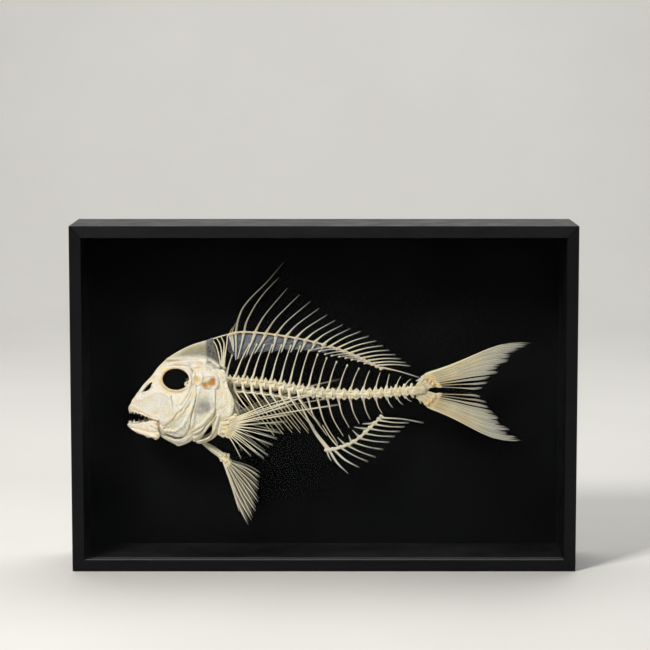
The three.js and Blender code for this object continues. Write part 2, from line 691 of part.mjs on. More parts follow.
// The end of the column and the two fans of plates that the tail fin's rays stand on.
function caudalBase() {
  const start = COLUMN.getPointAt(VERTEBRA_STARTS[LAST_SPOOL]);
  const plates = { rows: 1, thick: 3, web: 1.6, taper: 0.7, notch: 0 };
  const upper = ribbedFan(3, (s, v) => new THREE.Vector3().lerpVectors(
    at(start.x + 1 + 8 * s, 178.6 - 1.8 * s), at(101 + 13.8 * s, 190.2 - 12 * s), v), plates);
  const lower = ribbedFan(3, (s, v) => new THREE.Vector3().lerpVectors(
    at(start.x + 1 + 8 * s, 171.8 + 3.4 * s), at(103.6 + 11.4 * s, 159.4 + 12.6 * s), v), plates);
  const end = rod([at(start.x + GAP, start.z), at(107, 177)], [3.4, 2], { sides: 6, steps: 1 });
  return join([end, upper, lower]);
}

// One lobe: rays that fan from the base, long outside and short at the fork.
function caudalLobe(up) {
  const bulge = up ? 7 : -6.6;
  return ribbedFan(LOBE_RAYS, (s, v) => {
    const root = up ? at(102 + 13.8 * s, 191 - 13 * s) : at(104.8 + 11.4 * s, 158.6 + 13.6 * s);
    const tip = up ? at(208 - 50 * s ** 0.74, 222.8 - 49.6 * s)
      : at(198 - 40.5 * s ** 0.82, 123.6 + 49.2 * s);
    const chord = new THREE.Vector3().subVectors(tip, root).normalize();
    const lift = bulge * (1 - s) ** 1.5 * Math.sin(Math.PI * v ** 2);
    const spot = new THREE.Vector3().lerpVectors(root, tip, v);
    return at(spot.x - chord.z * lift, spot.z + chord.x * lift);
  });
}

// ---- Paired fins --------------------------------------------------------------------

// Shoulder: the strap behind the gill cover, its lower arm, and the plate of the fin.
function pectoralGirdle(side) {
  const front = [[-104.6, 197], [-107.4, 180], [-107.4, 160], [-110.8, 149], [-120.5, 137], [-129.5, 127.5]];
  const back = [[-99.5, 197.5], [-96.5, 183], [-90.5, 169], [-90, 157], [-95, 146], [-110, 131],
    [-125, 121.5]];
  const strap = plate(front, back, side, { across: 2, lengthwise: 9, lift: -2.6, thick: PLATE_THICK });
  const blade = plate([[-98, 153], [-103, 148], [-102.5, 135.5]], [[-88, 152.5], [-89.5, 143], [-96, 132]],
    side, { across: 2, lengthwise: 3, lift: -3.2, thick: 2.2 });
  const behind = rod([at(-91.5, 168, side * 18.8), at(-88, 159, side * 17), at(-84, 150, side * 14)],
    [1.4, 1.6, 0.7], { steps: 2, flat: 0.5 });
  return join([strap, blade, behind]);
}

// Where the fin's rays start and end, from the longest, uppermost one down.
const PECTORAL_TIPS = {
  x: [16, -8, -25, -30, 17, -32, -37, -43, -47, -51, -56, -60, -65, -73, -83],
  z: [182, 176, 171, 165.5, 165, 155, 147.5, 136, 130, 123.5, 113, 109.5, 113, 112, 109.5],
  y: [32, 27, 25, 22],
};
const PECTORAL_ROOTS = { x: [-86.2, -88, -94.4], z: [152.6, 142, 130.8], y: [20, 18] };

function pectoralFin(side) {
  const rays = Array.from({ length: PECTORAL_RAYS }, (_, i) => {
    const s = i / (PECTORAL_RAYS - 1);
    const [root, tip] = [PECTORAL_ROOTS, PECTORAL_TIPS].map(
      ({ x, z, y }) => at(along(x, s), along(z, s), side * along(y, s)));
    return rod([root, tip], [1.3, 0.45], { steps: 1, flat: 0.6 });
  });
  const bar = rod([at(-86.2, 152.9, side * 20), at(-87.8, 142, side * 19), at(-94.6, 130.4, side * 18)],
    [1.3, 1.6, 1.2], { steps: 3 });
  return join([bar, ...rays]);
}

function pelvicGirdle() {
  return join(SIDES.map(([, side]) => rod([at(-122, 121.5, side * 1), at(-112, 114, side * 2.2),
    at(-100.5, 107, side * 3.6)], [1.8, 3.4, 4.2], { sides: 5, steps: 3, flat: 0.7 })));
}

function pelvicFin(side) {
  const root = at(-100.8, 102.4, side * 4.2);
  const spine = rod([root, at(-93.4, 80, side * 5), at(-87, 55, side * 7)], [1.7, 1.2, 0.4]);
  const fan = ribbedFan(PELVIC_RAYS, (s, v) => {
    const from = at(root.x + 0.6 + 4 * s, root.z + 1.6 * s, root.y);
    const tip = at(along([-76.6, -70.8, -67, -65, -63.4], s), along([38.5, 47, 58.5, 73, 86], s),
      side * (8 + 4 * s));
    return new THREE.Vector3().lerpVectors(from, tip, v);
  }, { rows: 2, thick: 1.6, notch: 0.14 });
  return join([spine, fan]);
}

// The skeleton's end of each rod that carries it.
const PINS = {
  skull: at(-120, 190, headHalfWidth(-120, 190) + 2 * GAP),
  trunk: at(-34, 176, 5.6),
  tail: at(92, 175.4, 3.8),
};

// Dark rods that carry the skeleton from the back panel; they run true but for a hair.
function pins() {
  const panel = -CASE_DEPTH / 2 + PANEL_SETBACK - MID_Y - GAP;
  return Object.entries(PINS).map(([name, from]) => {
    const to = at(from.x + 0.01, from.z, panel);
    const pin = rod([from, to], [PIN_RADIUS, PIN_RADIUS], { sides: 8, steps: 1 });
    return mesh(`mount_pin_${name}`, pin, STEEL);
  });
}

const fish = new THREE.Group();
fish.position.set(0, MID_Y, 0);
fish.add(
  ...headMeshes(),
  mesh('vertebrae_trunk', vertebraeTrunk(), BONE),
  mesh('vertebrae_tail', vertebraeTail(), BONE),
  ...SIDES.map(([word, side]) => mesh(`ribs_${word}`, ribs(side), BONE)),
  mesh('supraneurals', supraneurals(), BONE),
  mesh('dorsal_fin_spiny', dorsalFinSpiny(), FIN),
  mesh('dorsal_fin_soft', dorsalFinSoft(), FIN),
  mesh('dorsal_membrane', dorsalMembrane(), MEMBRANE),
  mesh('anal_fin', join([analFin(), ...analSupports()]), FIN),
  mesh('caudal_base', caudalBase(), BONE),
  mesh('caudal_fin_upper', caudalLobe(true), FIN),
  mesh('caudal_fin_lower', caudalLobe(false), FIN),
  ...SIDES.map(([word, side]) => mesh(`pectoral_girdle_${word}`, pectoralGirdle(side), BONE)),
  ...SIDES.map(([word, side]) => mesh(`pectoral_fin_${word}`, pectoralFin(side), FIN)),
  mesh('pelvic_girdle', pelvicGirdle(), BONE),
  ...SIDES.map(([word, side]) => mesh(`pelvic_fin_${word}`, pelvicFin(side), FIN)),
  ...pins(),
);

const part = new THREE.Group();
part.add(...caseMeshes(), fish);

export default part;
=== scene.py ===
import math

import bpy
import numpy as np
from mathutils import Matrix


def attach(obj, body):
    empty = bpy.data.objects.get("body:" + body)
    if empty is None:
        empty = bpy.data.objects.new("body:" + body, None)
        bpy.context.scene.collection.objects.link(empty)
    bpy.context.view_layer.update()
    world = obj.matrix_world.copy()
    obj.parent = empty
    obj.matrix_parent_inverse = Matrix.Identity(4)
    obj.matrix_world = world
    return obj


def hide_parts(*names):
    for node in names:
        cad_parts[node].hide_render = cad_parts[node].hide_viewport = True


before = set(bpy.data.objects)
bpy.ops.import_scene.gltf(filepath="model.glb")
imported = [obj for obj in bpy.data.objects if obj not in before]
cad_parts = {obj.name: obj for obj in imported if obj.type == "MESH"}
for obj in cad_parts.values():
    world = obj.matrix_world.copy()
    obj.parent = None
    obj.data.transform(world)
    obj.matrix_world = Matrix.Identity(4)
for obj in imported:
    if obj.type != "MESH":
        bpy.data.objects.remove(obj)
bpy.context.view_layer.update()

import openvdb
from mathutils import Euler, Vector

# Shapes are worked out in millimetres in the fish's own frame: X from the snout to the
# tail, Y to its right side from its middle plane, Z up. MM turns them into metres.
MM = 0.001
MID_Y = -2.0
SNOUT_X, GILL_X, CHEEK_Z = -198.0, -106.0, 162.0
ORBIT_X, ORBIT_Z, ORBIT_LONG, ORBIT_HIGH = -147.9, 188.6, 13.4, 10.4
LEFT, RIGHT = -1, 1
SIDES = (("left", LEFT), ("right", RIGHT))

WHITE = (1.0, 1.0, 1.0)
CREAM = (1.0, 0.95, 0.8)
PINK = (1.0, 0.88, 0.82)
BROWN = (0.72, 0.48, 0.3)
HONEY = (1, 0.92, 0.68)
ASH = (0.8, 0.8, 0.78)
IVORY = (1.0, 0.97, 0.88)

# Grid steps of the solid forms, and how many spines and rays the fins have.
COARSE, FINE = 0.45, 0.38
DORSAL_SPINES, DORSAL_RAYS, ANAL_RAYS, TAIL_RAYS = 12, 10, 9, 9
# The near side shades the far one: the colours of its bones are scaled by these.
FAR_RIBS, FAR_PECTORAL, FAR_PELVIC = 0.7, 0.62, 0.5


# ---- Numbers and curves ---------------------------------------------------------------

def at(x, z, y=0.0):
    return np.array([x, y, z], float)


def xz(*numbers):
    """Points of the side view from a plain row of numbers."""
    return np.array(numbers, float).reshape(-1, 2)


def line(*numbers):
    """The same on the middle plane, as points in space."""
    return np.insert(xz(*numbers), 1, 0, axis=1)


def along(keys, t):
    """Value at t (0 to 1) of a line through evenly spaced keys."""
    keys = np.asarray(keys, float)
    place = np.linspace(0, 1, len(keys))
    if keys.ndim == 1:
        return np.interp(t, place, keys)
    return np.stack([np.interp(t, place, keys[:, k]) for k in range(keys.shape[1])], -1)


def spline(points, count, closed=False):
    """Points of an even Catmull-Rom curve through the given points."""
    p = np.asarray(points, float)
    if len(p) == 2:
        return along(p, np.linspace(0, 1, count))
    if closed:
        p = np.vstack([p[-1:], p, p[:2]])
    else:
        p = np.vstack([2 * p[0] - p[1], p, 2 * p[-1] - p[-2]])
    spans = len(p) - 3
    t = np.linspace(0, spans, count, endpoint=not closed)
    i = np.minimum(t.astype(int), spans - 1)
    f = (t - i)[:, None]
    a, b, c, d = p[i], p[i + 1], p[i + 2], p[i + 3]
    return 0.5 * (2 * b + (c - a) * f + (2 * a - 5 * b + 4 * c - d) * f ** 2
            + (3 * b - a - 3 * c + d) * f ** 3)


def even(points, count):
    """Points of a smooth curve, at equal distances along it."""
    fine = spline(points, 40 * len(points))
    run = np.concatenate([[0], np.cumsum(np.linalg.norm(np.diff(fine, axis=0), axis=1))])
    where = np.linspace(0, run[-1], count)
    return np.stack([np.interp(where, run, fine[:, k]) for k in range(fine.shape[1])], -1)


def bowed(start, end, bow, where=0.5):
    """Three points from start to end, furthest from straight at a share of the length."""
    middle = start + (end - start) * where
    chord = end - start
    return [start, middle + at(-chord[2], chord[0]) * bow, end]


def reach(start, length, degrees):
    angle = math.radians(degrees)
    return start + at(length * math.cos(angle), length * math.sin(angle))


def step_up(value, low, high):
    t = np.clip((value - low) / (high - low), 0, 1)
    return t * t * (3 - 2 * t)


def grain(x, y, z, size):
    """Smooth, repeatable unevenness between about -1 and 1."""
    u, v, w = np.asarray(x) / size, np.asarray(y) / size, np.asarray(z) / size
    broad = np.sin(2.1 * u + 1.7 * np.sin(1.3 * v + 0.4) + 0.9 * w)
    broad = broad * np.cos(1.9 * v + 1.5 * np.sin(1.1 * w - 0.7) - 0.8 * u)
    small = np.sin(4.3 * u - 3.1 * w + 2 * np.sin(2.3 * v)) * np.cos(3.7 * v + 1)
    return (broad + 0.5 * small) / 1.5


def head_half_width(x, z):
    back = np.clip((x - SNOUT_X) / (GILL_X - SNOUT_X), 0, 1)
    widest = 7 + 16 * np.sin(back * np.pi / 2)
    height = z - CHEEK_Z
    narrowing = np.where(height > 0, 1.3 * (height / 75) ** 2, 0.75 * (height / 45) ** 2)
    return widest * np.maximum(0.12, 1 - narrowing)


# ---- Surfaces ---------------------------------------------------------------------------

class Form:
    """Closed surfaces of one piece, with a colour and a coverage for each point."""

    def __init__(self):
        self.points, self.quads, self.triangles, self.tints = [], [], [], []
        self.count = 0

    def add(self, points, quads=(), triangles=(), tint=WHITE, cover=1.0):
        points = np.asarray(points, float)
        colour = np.ones((len(points), 4))
        colour[:, :3] = tint
        colour[:, 3] = cover
        self.points.append(points)
        self.tints.append(colour)
        self.quads.append(np.asarray(quads, int).reshape(-1, 4) + self.count)
        self.triangles.append(np.asarray(triangles, int).reshape(-1, 3) + self.count)
        self.count += len(points)
        return self

    def joined(self):
        return (np.concatenate(self.points), np.concatenate(self.quads),
            np.concatenate(self.triangles), np.concatenate(self.tints))

    def reset(self, points, quads, triangles, tints):
        self.points, self.quads = [points], [quads]
        self.triangles, self.tints = [triangles], [tints]
        self.count = len(points)
        return self

    def mirrored(self):
        points, quads, triangles, tints = self.joined()
        return Form().reset(points * [1, -1, 1], quads[:, ::-1], triangles[:, ::-1], tints)

    def paint(self, patches):
        """Each patch is x and z of the side view, a radius, a colour and a strength."""
        points, quads, triangles, tints = self.joined()
        for x, z, radius, colour, strength in patches:
            near = np.exp(-((points[:, 0] - x) ** 2 + (points[:, 2] - z) ** 2) / radius ** 2)
            uneven = 1 + 0.35 * grain(points[:, 0], points[:, 2], points[:, 1], 2.5)
            share = np.clip(near * strength * uneven, 0, 1)[:, None]
            tints[:, :3] = tints[:, :3] * (1 - share) + np.array(colour) * share
        return self.reset(points, quads, triangles, tints)


def tube(form, path, radii, sides=10, flat=1.0, tint=WHITE):
    """A tapered rod along a path with round ends; flat thins it sideways."""
    path = np.asarray(path, float)
    count = len(path)
    radii = along(radii, np.linspace(0, 1, count))
    ahead = np.gradient(path, axis=0)
    ahead /= np.linalg.norm(ahead, axis=1)[:, None]
    across = np.cross(ahead, (0, 1, 0))
    across /= np.linalg.norm(across, axis=1)[:, None]
    beside = np.cross(across, ahead)
    cap = np.radians([90, 60, 30])
    start = path[0] - ahead[0] * np.sin(cap)[:, None] * radii[0] * 0.8
    end = path[-1] + ahead[-1] * np.sin(cap[::-1])[:, None] * radii[-1] * 0.8
    path = np.vstack([start, path, end])
    radii = np.concatenate([radii[0] * np.cos(cap), radii, radii[-1] * np.cos(cap[::-1])])
    radii = np.maximum(radii, 0.02)
    across = np.vstack([across[:1]] * 3 + [across] + [across[-1:]] * 3)
    beside = np.vstack([beside[:1]] * 3 + [beside] + [beside[-1:]] * 3)
    turn = np.linspace(0, 2 * np.pi, sides, endpoint=False)
    ring = (np.cos(turn)[None, :, None] * across[:, None] * radii[:, None, None]
            + np.sin(turn)[None, :, None] * beside[:, None] * radii[:, None, None] * flat)
    points = (path[:, None] + ring).reshape(-1, 3)
    rings = len(path)
    i, j = np.meshgrid(np.arange(rings - 1), np.arange(sides), indexing="ij")
    k = (j + 1) % sides
    quads = np.stack([i * sides + j, (i + 1) * sides + j, (i + 1) * sides + k, i * sides + k], -1)
    first = np.array([[0, k, k + 1] for k in range(1, sides - 1)])
    last = (rings - 1) * sides + first[:, ::-1]
    if np.ndim(tint) == 2:
        tint = np.repeat(along(tint, np.linspace(0, 1, rings)), sides, axis=0)
    return form.add(points, quads.reshape(-1, 4), np.vstack([first, last]), tint)


def smooth_min(a, b, soft):
    if soft <= 0:
        return np.minimum(a, b)
    h = np.clip(0.5 + 0.5 * (b - a) / soft, 0, 1)
    return b + (a - b) * h - soft * h * (1 - h)


class Block:
    """Signed distances, negative inside, on a grid; it turns into a smooth closed surface."""

    FAR = 8.0

    def __init__(self, low, high, step=FINE):
        self.step = step
        self.low = np.asarray(low, float) - 2 * step
        size = np.ceil((np.asarray(high, float) + 2 * step - self.low) / step).astype(int) + 1
        self.axes = [self.low[k] + step * np.arange(size[k]) for k in range(3)]
        self.distance = np.full(size, self.FAR, np.float32)

    def window(self, low, high):
        cuts = []
        for k in range(3):
            first = max(0, int((low[k] - self.low[k]) / self.step))
            last = min(len(self.axes[k]), int((high[k] - self.low[k]) / self.step) + 2)
            cuts.append(slice(first, max(first, last)))
        grids = np.meshgrid(*[axis[cut] for axis, cut in zip(self.axes, cuts)], indexing="ij",
            sparse=True)
        return tuple(cuts), grids

    def whole(self):
        return np.meshgrid(*self.axes, indexing="ij", sparse=True)

    def add(self, distance, soft=0.0):
        self.distance = smooth_min(self.distance, distance, soft).astype(np.float32)

    def cut(self, distance, soft):
        self.distance = -smooth_min(-self.distance, distance, soft).astype(np.float32)

    def rod(self, start, end, radii, soft, flat=1.0, hollow=False):
        """A tapered rod; flat thins it sideways, hollow cuts it out instead."""
        a, b = np.asarray(start, float), np.asarray(end, float)
        ra, rb = radii
        margin = max(ra, rb) + soft + 1
        cuts, (x, y, z) = self.window(np.minimum(a, b) - margin, np.maximum(a, b) + margin)
        if self.distance[cuts].size == 0:
            return
        e = b - a
        t = ((x - a[0]) * e[0] + (y - a[1]) * e[1] + (z - a[2]) * e[2]) / max(e @ e, 1e-9)
        t = np.clip(t, 0, 1)
        gap = np.sqrt((x - a[0] - e[0] * t) ** 2 + ((y - a[1] - e[1] * t) / flat) ** 2
                + (z - a[2] - e[2] * t) ** 2) - (ra + (rb - ra) * t)
        gap = gap * min(1.0, flat) ** 0.5
        if hollow:
            self.distance[cuts] = -smooth_min(-self.distance[cuts], gap, soft)
        else:
            self.distance[cuts] = smooth_min(self.distance[cuts], gap, soft)

    def path(self, points, radii, soft, flat=1.0, hollow=False):
        points = np.asarray(points, float)
        radii = along(radii, np.linspace(0, 1, len(points)))
        for i in range(len(points) - 1):
            self.rod(points[i], points[i + 1], (radii[i], radii[i + 1]), soft, flat, hollow)

    def arms(self, side, rows):
        """Paths of one side: points as x, z and y, then what path takes."""
        for points, *rest in rows:
            self.path([at(x, z, y * side) for x, z, y in points], *rest)

    def surface(self, form=None, tint=WHITE):
        grid = openvdb.FloatGrid(self.FAR)
        grid.copyFromArray(np.clip(self.distance, -self.FAR, self.FAR).astype(np.float32))
        points, triangles, quads = grid.convertToPolygons(0.0, 0.0)
        form = form or Form()
        return form.add(points * self.step + self.low, quads, triangles, tint)


def outline_distance(corners, x, z):
    """Distance from a closed outline of the side view, negative inside."""
    shape = np.broadcast(x, z).shape
    nearest = np.full(shape, np.inf)
    inside = np.zeros(shape, bool)
    for (ax, az), (bx, bz) in zip(corners, np.roll(corners, -1, 0)):
        ex, ez = bx - ax, bz - az
        t = np.clip(((x - ax) * ex + (z - az) * ez) / max(ex * ex + ez * ez, 1e-9), 0, 1)
        nearest = np.minimum(nearest, (x - ax - ex * t) ** 2 + (z - az - ez * t) ** 2)
        if az != bz:
            inside ^= ((az > z) != (bz > z)) & (x < ex * (z - az) / ez + ax)
    return np.where(inside, -1, 1) * np.sqrt(nearest)


def line_distance(points, x, z):
    nearest = np.full(np.broadcast(x, z).shape, np.inf)
    for (ax, az), (bx, bz) in zip(points[:-1], points[1:]):
        ex, ez = bx - ax, bz - az
        t = np.clip(((x - ax) * ex + (z - az) * ez) / max(ex * ex + ez * ez, 1e-9), 0, 1)
        nearest = np.minimum(nearest, (x - ax - ex * t) ** 2 + (z - az - ez * t) ** 2)
    return np.sqrt(nearest)


def ellipse_distance(x, z, cx, cz, rx, rz):
    reach_out = np.sqrt(((x - cx) / rx) ** 2 + ((z - cz) / rz) ** 2)
    return (reach_out - 1) * min(rx, rz)


def rounded(a, b, radius):
    """Meeting of two solids with a rounded edge between them."""
    a, b = a + radius, b + radius
    outside = np.sqrt(np.maximum(a, 0) ** 2 + np.maximum(b, 0) ** 2)
    return outside + np.minimum(np.maximum(a, b), 0) - radius


def shell(outline, lift=0.0, thick=1.8, ridges=(), pits=(), hole=None, relief=None, thin_edge=0.5,
        tint=WHITE):
    """A plate of the head's left side, from its outline in the side view.

    A ridge is its points, half width and height; a pit its x, z, radius and depth."""
    corners = spline(outline, 6 * len(outline), closed=True)
    low, high = corners.min(0) - 1.5, corners.max(0) + 1.5
    x = np.arange(low[0], high[0], COARSE)[:, None]
    z = np.arange(low[1], high[1], COARSE)[None, :]
    flat = outline_distance(corners, x, z)
    if hole is not None:
        flat = np.maximum(flat, -hole(x, z))
    outer = head_half_width(x, z) + lift + 0.16 * grain(x, z, 0, 5.0)
    for points, width, height in ridges:
        outer = outer + height * np.exp(-(line_distance(points, x, z) / width) ** 2)
    for px, pz, radius, depth in pits:
        outer = outer - depth * np.exp(-((x - px) ** 2 + (z - pz) ** 2) / radius ** 2)
    if relief is not None:
        outer = outer + relief(x, z)
    gx, gz = np.gradient(outer, COARSE)
    slope = np.sqrt(1 + gx ** 2 + gz ** 2)
    body = thick * (1 - thin_edge * (1 - step_up(-flat, 0, 3)))
    top, bottom = outer.max() + 1.5, outer.min() - thick - 2.5
    y = np.arange(bottom, top, COARSE)[None, :, None]
    middle, half = (outer - body / 2)[:, None, :], (body / 2)[:, None, :]
    depth = np.abs(y - middle) / slope[:, None, :] - half
    block = Block((low[0], bottom, low[1]), (high[0], top, high[1]), COARSE)
    block.low = np.array([low[0], bottom, low[1]])
    block.distance = rounded(flat[:, None, :], depth, 0.35).astype(np.float32)
    return block.surface(tint=tint).mirrored()


# ---- Materials ---------------------------------------------------------------------------

class Paint:
    """A node material with a Principled shader, built from named nodes."""

    def __init__(self, name):
        self.material = bpy.data.materials.new(name)
        self.material.use_nodes = True
        self.tree = self.material.node_tree
        self.shader = self.tree.nodes["Principled BSDF"]
        self.place = self.node("ShaderNodeTexCoord").outputs["Object"]

    def fill(self, node, inputs):
        """Each input gets a constant, or a link from another node's output."""
        for key, value in inputs.items():
            if isinstance(value, bpy.types.NodeSocket):
                self.tree.links.new(value, node.inputs[key])
            else:
                node.inputs[key].default_value = value
        return node

    def node(self, kind, inputs={}, **settings):
        made = self.tree.nodes.new(kind)
        for key, value in settings.items():
            setattr(made, key, value)
        return self.fill(made, inputs)

    def noise(self, scale, detail=4.0, rough=0.55, stretch=(1, 1, 1)):
        mapping = self.node("ShaderNodeMapping", {"Scale": stretch, "Vector": self.place})
        return self.node("ShaderNodeTexNoise",
            {"Scale": scale, "Detail": detail, "Roughness": rough,
                "Vector": mapping.outputs["Vector"]}).outputs["Fac"]

    def span(self, value, low, high, to_low, to_high):
        return self.node("ShaderNodeMapRange",
            {"From Min": low, "From Max": high, "To Min": to_low, "To Max": to_high,
                "Value": value}).outputs["Result"]

    def mix(self, share, first, second, blend="MIX"):
        first, second = ((*c, 1) if isinstance(c, tuple) else c for c in (first, second))
        return self.node("ShaderNodeMix", {0: share, 6: first, 7: second}, data_type="RGBA",
            blend_type=blend).outputs[2]

    def bump(self, height, strength, distance, after=None):
        inputs = {"Strength": strength, "Distance": distance, "Height": height}
        if after:
            inputs["Normal"] = after
        return self.node("ShaderNodeBump", inputs).outputs["Normal"]

    def finish(self, colour, roughness, normal, **values):
        """Feeds the Principled shader; further values are its inputs, with _ for spaces."""
        inputs = {key.replace("_", " "): value for key, value in values.items()}
        self.fill(self.shader,
            {"Base Color": colour, "Roughness": roughness, "Normal": normal, **inputs})
        return self.material

    def blend(self, share, first, second):
        """The surface is a mixture of two shaders."""
        mixed = self.node("ShaderNodeMixShader",
            {"Fac": share, 1: first.outputs["BSDF"], 2: second.outputs["BSDF"]})
        self.fill(self.tree.nodes["Material Output"], {"Surface": mixed.outputs["Shader"]})
        return self.material


def bone_material(name, light, warm, glow, pits, crevice_shade):
    """Dry bone: cream with warmer clouds, fine grain and pores, tinted point by point."""
    paint = Paint(name)
    tint = paint.node("ShaderNodeAttribute", attribute_name="Tint")
    clouds = paint.span(paint.noise(130, 5), 0.36, 0.66, 0, 1)
    streaks = paint.span(paint.noise(900, 3), 0.45, 0.75, 0, 0.35)
    body = paint.mix(clouds, light, warm)
    body = paint.mix(streaks, body, tuple(0.82 * c for c in warm))
    body = paint.mix(1.0, body, tint.outputs["Color"], "MULTIPLY")
    # Painted shade: hollows, found by the mesh's pointiness, are darkened towards a warm brown.
    sharpness = paint.node("ShaderNodeNewGeometry").outputs["Pointiness"]
    hollow_shade = paint.span(sharpness, 0.4, 0.5, crevice_shade, 0.0)
    body = paint.mix(hollow_shade, body, (0.5, 0.4, 0.27), "MULTIPLY")
    fine = paint.bump(paint.noise(1500, 6), 0.35, 0.0004)
    pores = paint.span(paint.noise(420, 4), 0.35, 0.6, 0, 1)
    paint.finish(body, paint.span(paint.noise(260, 3), 0.3, 0.7, 0.38, 0.58),
        paint.bump(pores, pits, 0.0006, fine), Subsurface_Weight=glow, Subsurface_Scale=0.003,
        Specular_IOR_Level=0.4)
    clear = paint.node("ShaderNodeBsdfTransparent")
    return paint.blend(tint.outputs["Alpha"], clear, paint.shader)


def board_material(name, gloss, painted_light_on_top=False):
    """Black satin lacquer; optionally painted light makes it greyer on top, with smudges, and by
    the pane.
    """
    paint = Paint(name)
    lines = paint.span(paint.noise(90, 5, 0.6, stretch=(0.3, 1, 1)), 0.35, 0.7, 0, 1)
    colour = paint.mix(lines, (0.0022, 0.0023, 0.0029), (0.004, 0.0042, 0.0052))
    if painted_light_on_top:
        # Painted light: upward faces lighter, as if lit from above, and a painted glint on the lip
        # by the pane.
        normal = paint.node("ShaderNodeNewGeometry").outputs["Normal"]
        facing = paint.node("ShaderNodeSeparateXYZ", {"Vector": normal}).outputs["Z"]
        depth = paint.node("ShaderNodeSeparateXYZ", {"Vector": paint.place}).outputs["Y"]
        smudges = paint.span(paint.noise(24, 6, 0.7, stretch=(0.5, 1, 1)), 0.42, 0.7, 0, 1)
        lit_top_colour = paint.mix(smudges, (0.004, 0.004, 0.004), (0.02, 0.0195, 0.019))
        lip_glint = paint.span(depth, -0.0405, -0.036, 1, 0)
        lit_top_colour = paint.mix(lip_glint, lit_top_colour, (0.13, 0.13, 0.13))
        colour = paint.mix(paint.span(facing, 0.6, 0.95, 0, 1), colour, lit_top_colour)
    return paint.finish(colour, paint.span(paint.noise(45, 4), 0.3, 0.7, 0.34, 0.48),
        paint.bump(paint.noise(1400, 4), 0.12, 0.0003), Specular_IOR_Level=gloss)


def plain_material(name, clouds, dark, light, rough_scale, rough, relief, **values):
    """Two close colours in clouds, a varied roughness and a fine relief."""
    paint = Paint(name)
    scale, strength, distance = relief
    return paint.finish(paint.mix(paint.span(paint.noise(*clouds), 0.3, 0.7, 0, 1), dark, light),
        paint.span(paint.noise(rough_scale, 3), 0.3, 0.7, *rough),
        paint.bump(paint.noise(scale), strength, distance), **values)


def glass_material():
    """Clear pane: it lets light straight through, with a weak gloss and faint smears."""
    paint = Paint("clear_pane")
    clear = paint.node("ShaderNodeBsdfTransparent", {"Color": (0.97, 0.98, 0.98, 1)})
    gloss = paint.node("ShaderNodeBsdfGlossy",
        {"Color": (0.9, 0.95, 1, 1),
            "Roughness": paint.span(paint.noise(25, 4), 0.3, 0.7, 0.05, 0.12),
            "Normal": paint.bump(paint.noise(12, 3), 0.03, 0.0005)})
    return paint.blend(paint.span(paint.noise(18, 5), 0.35, 0.7, 0.001, 0.003), clear, gloss)


MATERIALS = {name: bone_material(name, *look) for name, *look in (
    ("skull_bone", (0.86, 0.79, 0.73), (0.84, 0.73, 0.55), 0.05, 0.6, 0.2),
    ("gill_cover_bone", (0.84, 0.79, 0.7), (0.82, 0.71, 0.52), 0.05, 0.6, 0.2),
    ("body_bone", (0.85, 0.78, 0.65), (0.8, 0.67, 0.45), 0.05, 0.6, 1),
    ("fin_bone", (0.7, 0.67, 0.62), (0.74, 0.66, 0.51), 0.08, 0.3, 0.85),
    ("dry_skin", (0.185, 0.195, 0.23), (0.255, 0.255, 0.275), 0, 0.8, 0.85))}


def piece(name, form, slot, *nodes):
    """A mesh object of the form, in metres, which stands for the CAD nodes."""
    points, quads, triangles, tints = form.joined()
    points = (points + [0, MID_Y, 0]) * MM
    mesh = bpy.data.meshes.new(name)
    mesh.vertices.add(len(points))
    mesh.vertices.foreach_set("co", points.ravel())
    corners = np.concatenate([quads.ravel(), triangles.ravel()])
    sizes = np.concatenate([np.full(len(quads), 4), np.full(len(triangles), 3)])
    mesh.loops.add(len(corners))
    mesh.loops.foreach_set("vertex_index", corners.astype(np.int32))
    mesh.polygons.add(len(sizes))
    mesh.polygons.foreach_set("loop_start",
        np.concatenate([[0], np.cumsum(sizes)[:-1]]).astype(np.int32))
    mesh.polygons.foreach_set("use_smooth", np.ones(len(sizes), bool))
    mesh.update(calc_edges=True)
    mesh.validate()
    tint = mesh.color_attributes.new("Tint", "FLOAT_COLOR", "POINT")
    tint.data.foreach_set("color", tints.astype(np.float32).ravel())
    mesh.materials.append(MATERIALS[slot])
    made = bpy.data.objects.new(name, mesh)
    bpy.context.scene.collection.objects.link(made)
    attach(made, "root")
    if nodes:
        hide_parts(*nodes)


def pair(name, form, slot, *stems):
    """The left piece and its mirror image; each replaces the nodes of its own side."""
    for word, side in SIDES:
        nodes = [f"{stem}_{word}" for stem in stems]
        piece(f"{name}_{word}", form if side == LEFT else form.mirrored(), slot, *nodes)


def plate(name, slot, stem, outline, patches=(), **shape):
    """A head plate for each side, from its outline, its painted patches and its shape."""
    pair(name, shell(outline, **shape).paint(patches), slot, stem)


# ---- Case ----------------------------------------------------------------------------------

def dress(name, material):
    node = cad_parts[name]
    node.data.materials.clear()
    node.data.materials.append(material)
    return node


def build_case():
    sides = board_material("black_lacquer_sides", 0.14)
    lacquers = {"case_top": board_material("black_lacquer_top", 0.23),
                "case_bottom": board_material("black_lacquer_bottom", 0.14, painted_light_on_top=True),
                "case_left": sides, "case_right": sides}
    for name, lacquer in lacquers.items():
        bevel = dress(name, lacquer).modifiers.new("softened_edges", "BEVEL")
        bevel.width = 0.0007
        bevel.segments = 3
        bevel.limit_method = "ANGLE"
        bevel.harden_normals = False
    dress("back_panel", plain_material("matt_black_board", (30, 5), (0.0012, 0.0012, 0.0013),
            (0.0024, 0.0024, 0.0025), 60, (0.6, 0.75), (700, 0.15, 0.0003),
            Specular_IOR_Level=0.03))
    dress("glass", glass_material())
    steel = plain_material("blackened_steel", (300, 4), (0.012, 0.012, 0.013), (0.02, 0.019, 0.018),
        500, (0.35, 0.5), (2500, 0.2, 0.0002), Metallic=0.6)
    for name in ("mount_pin_skull", "mount_pin_trunk", "mount_pin_tail"):
        dress(name, steel)


# ---- Head ----------------------------------------------------------------------------------

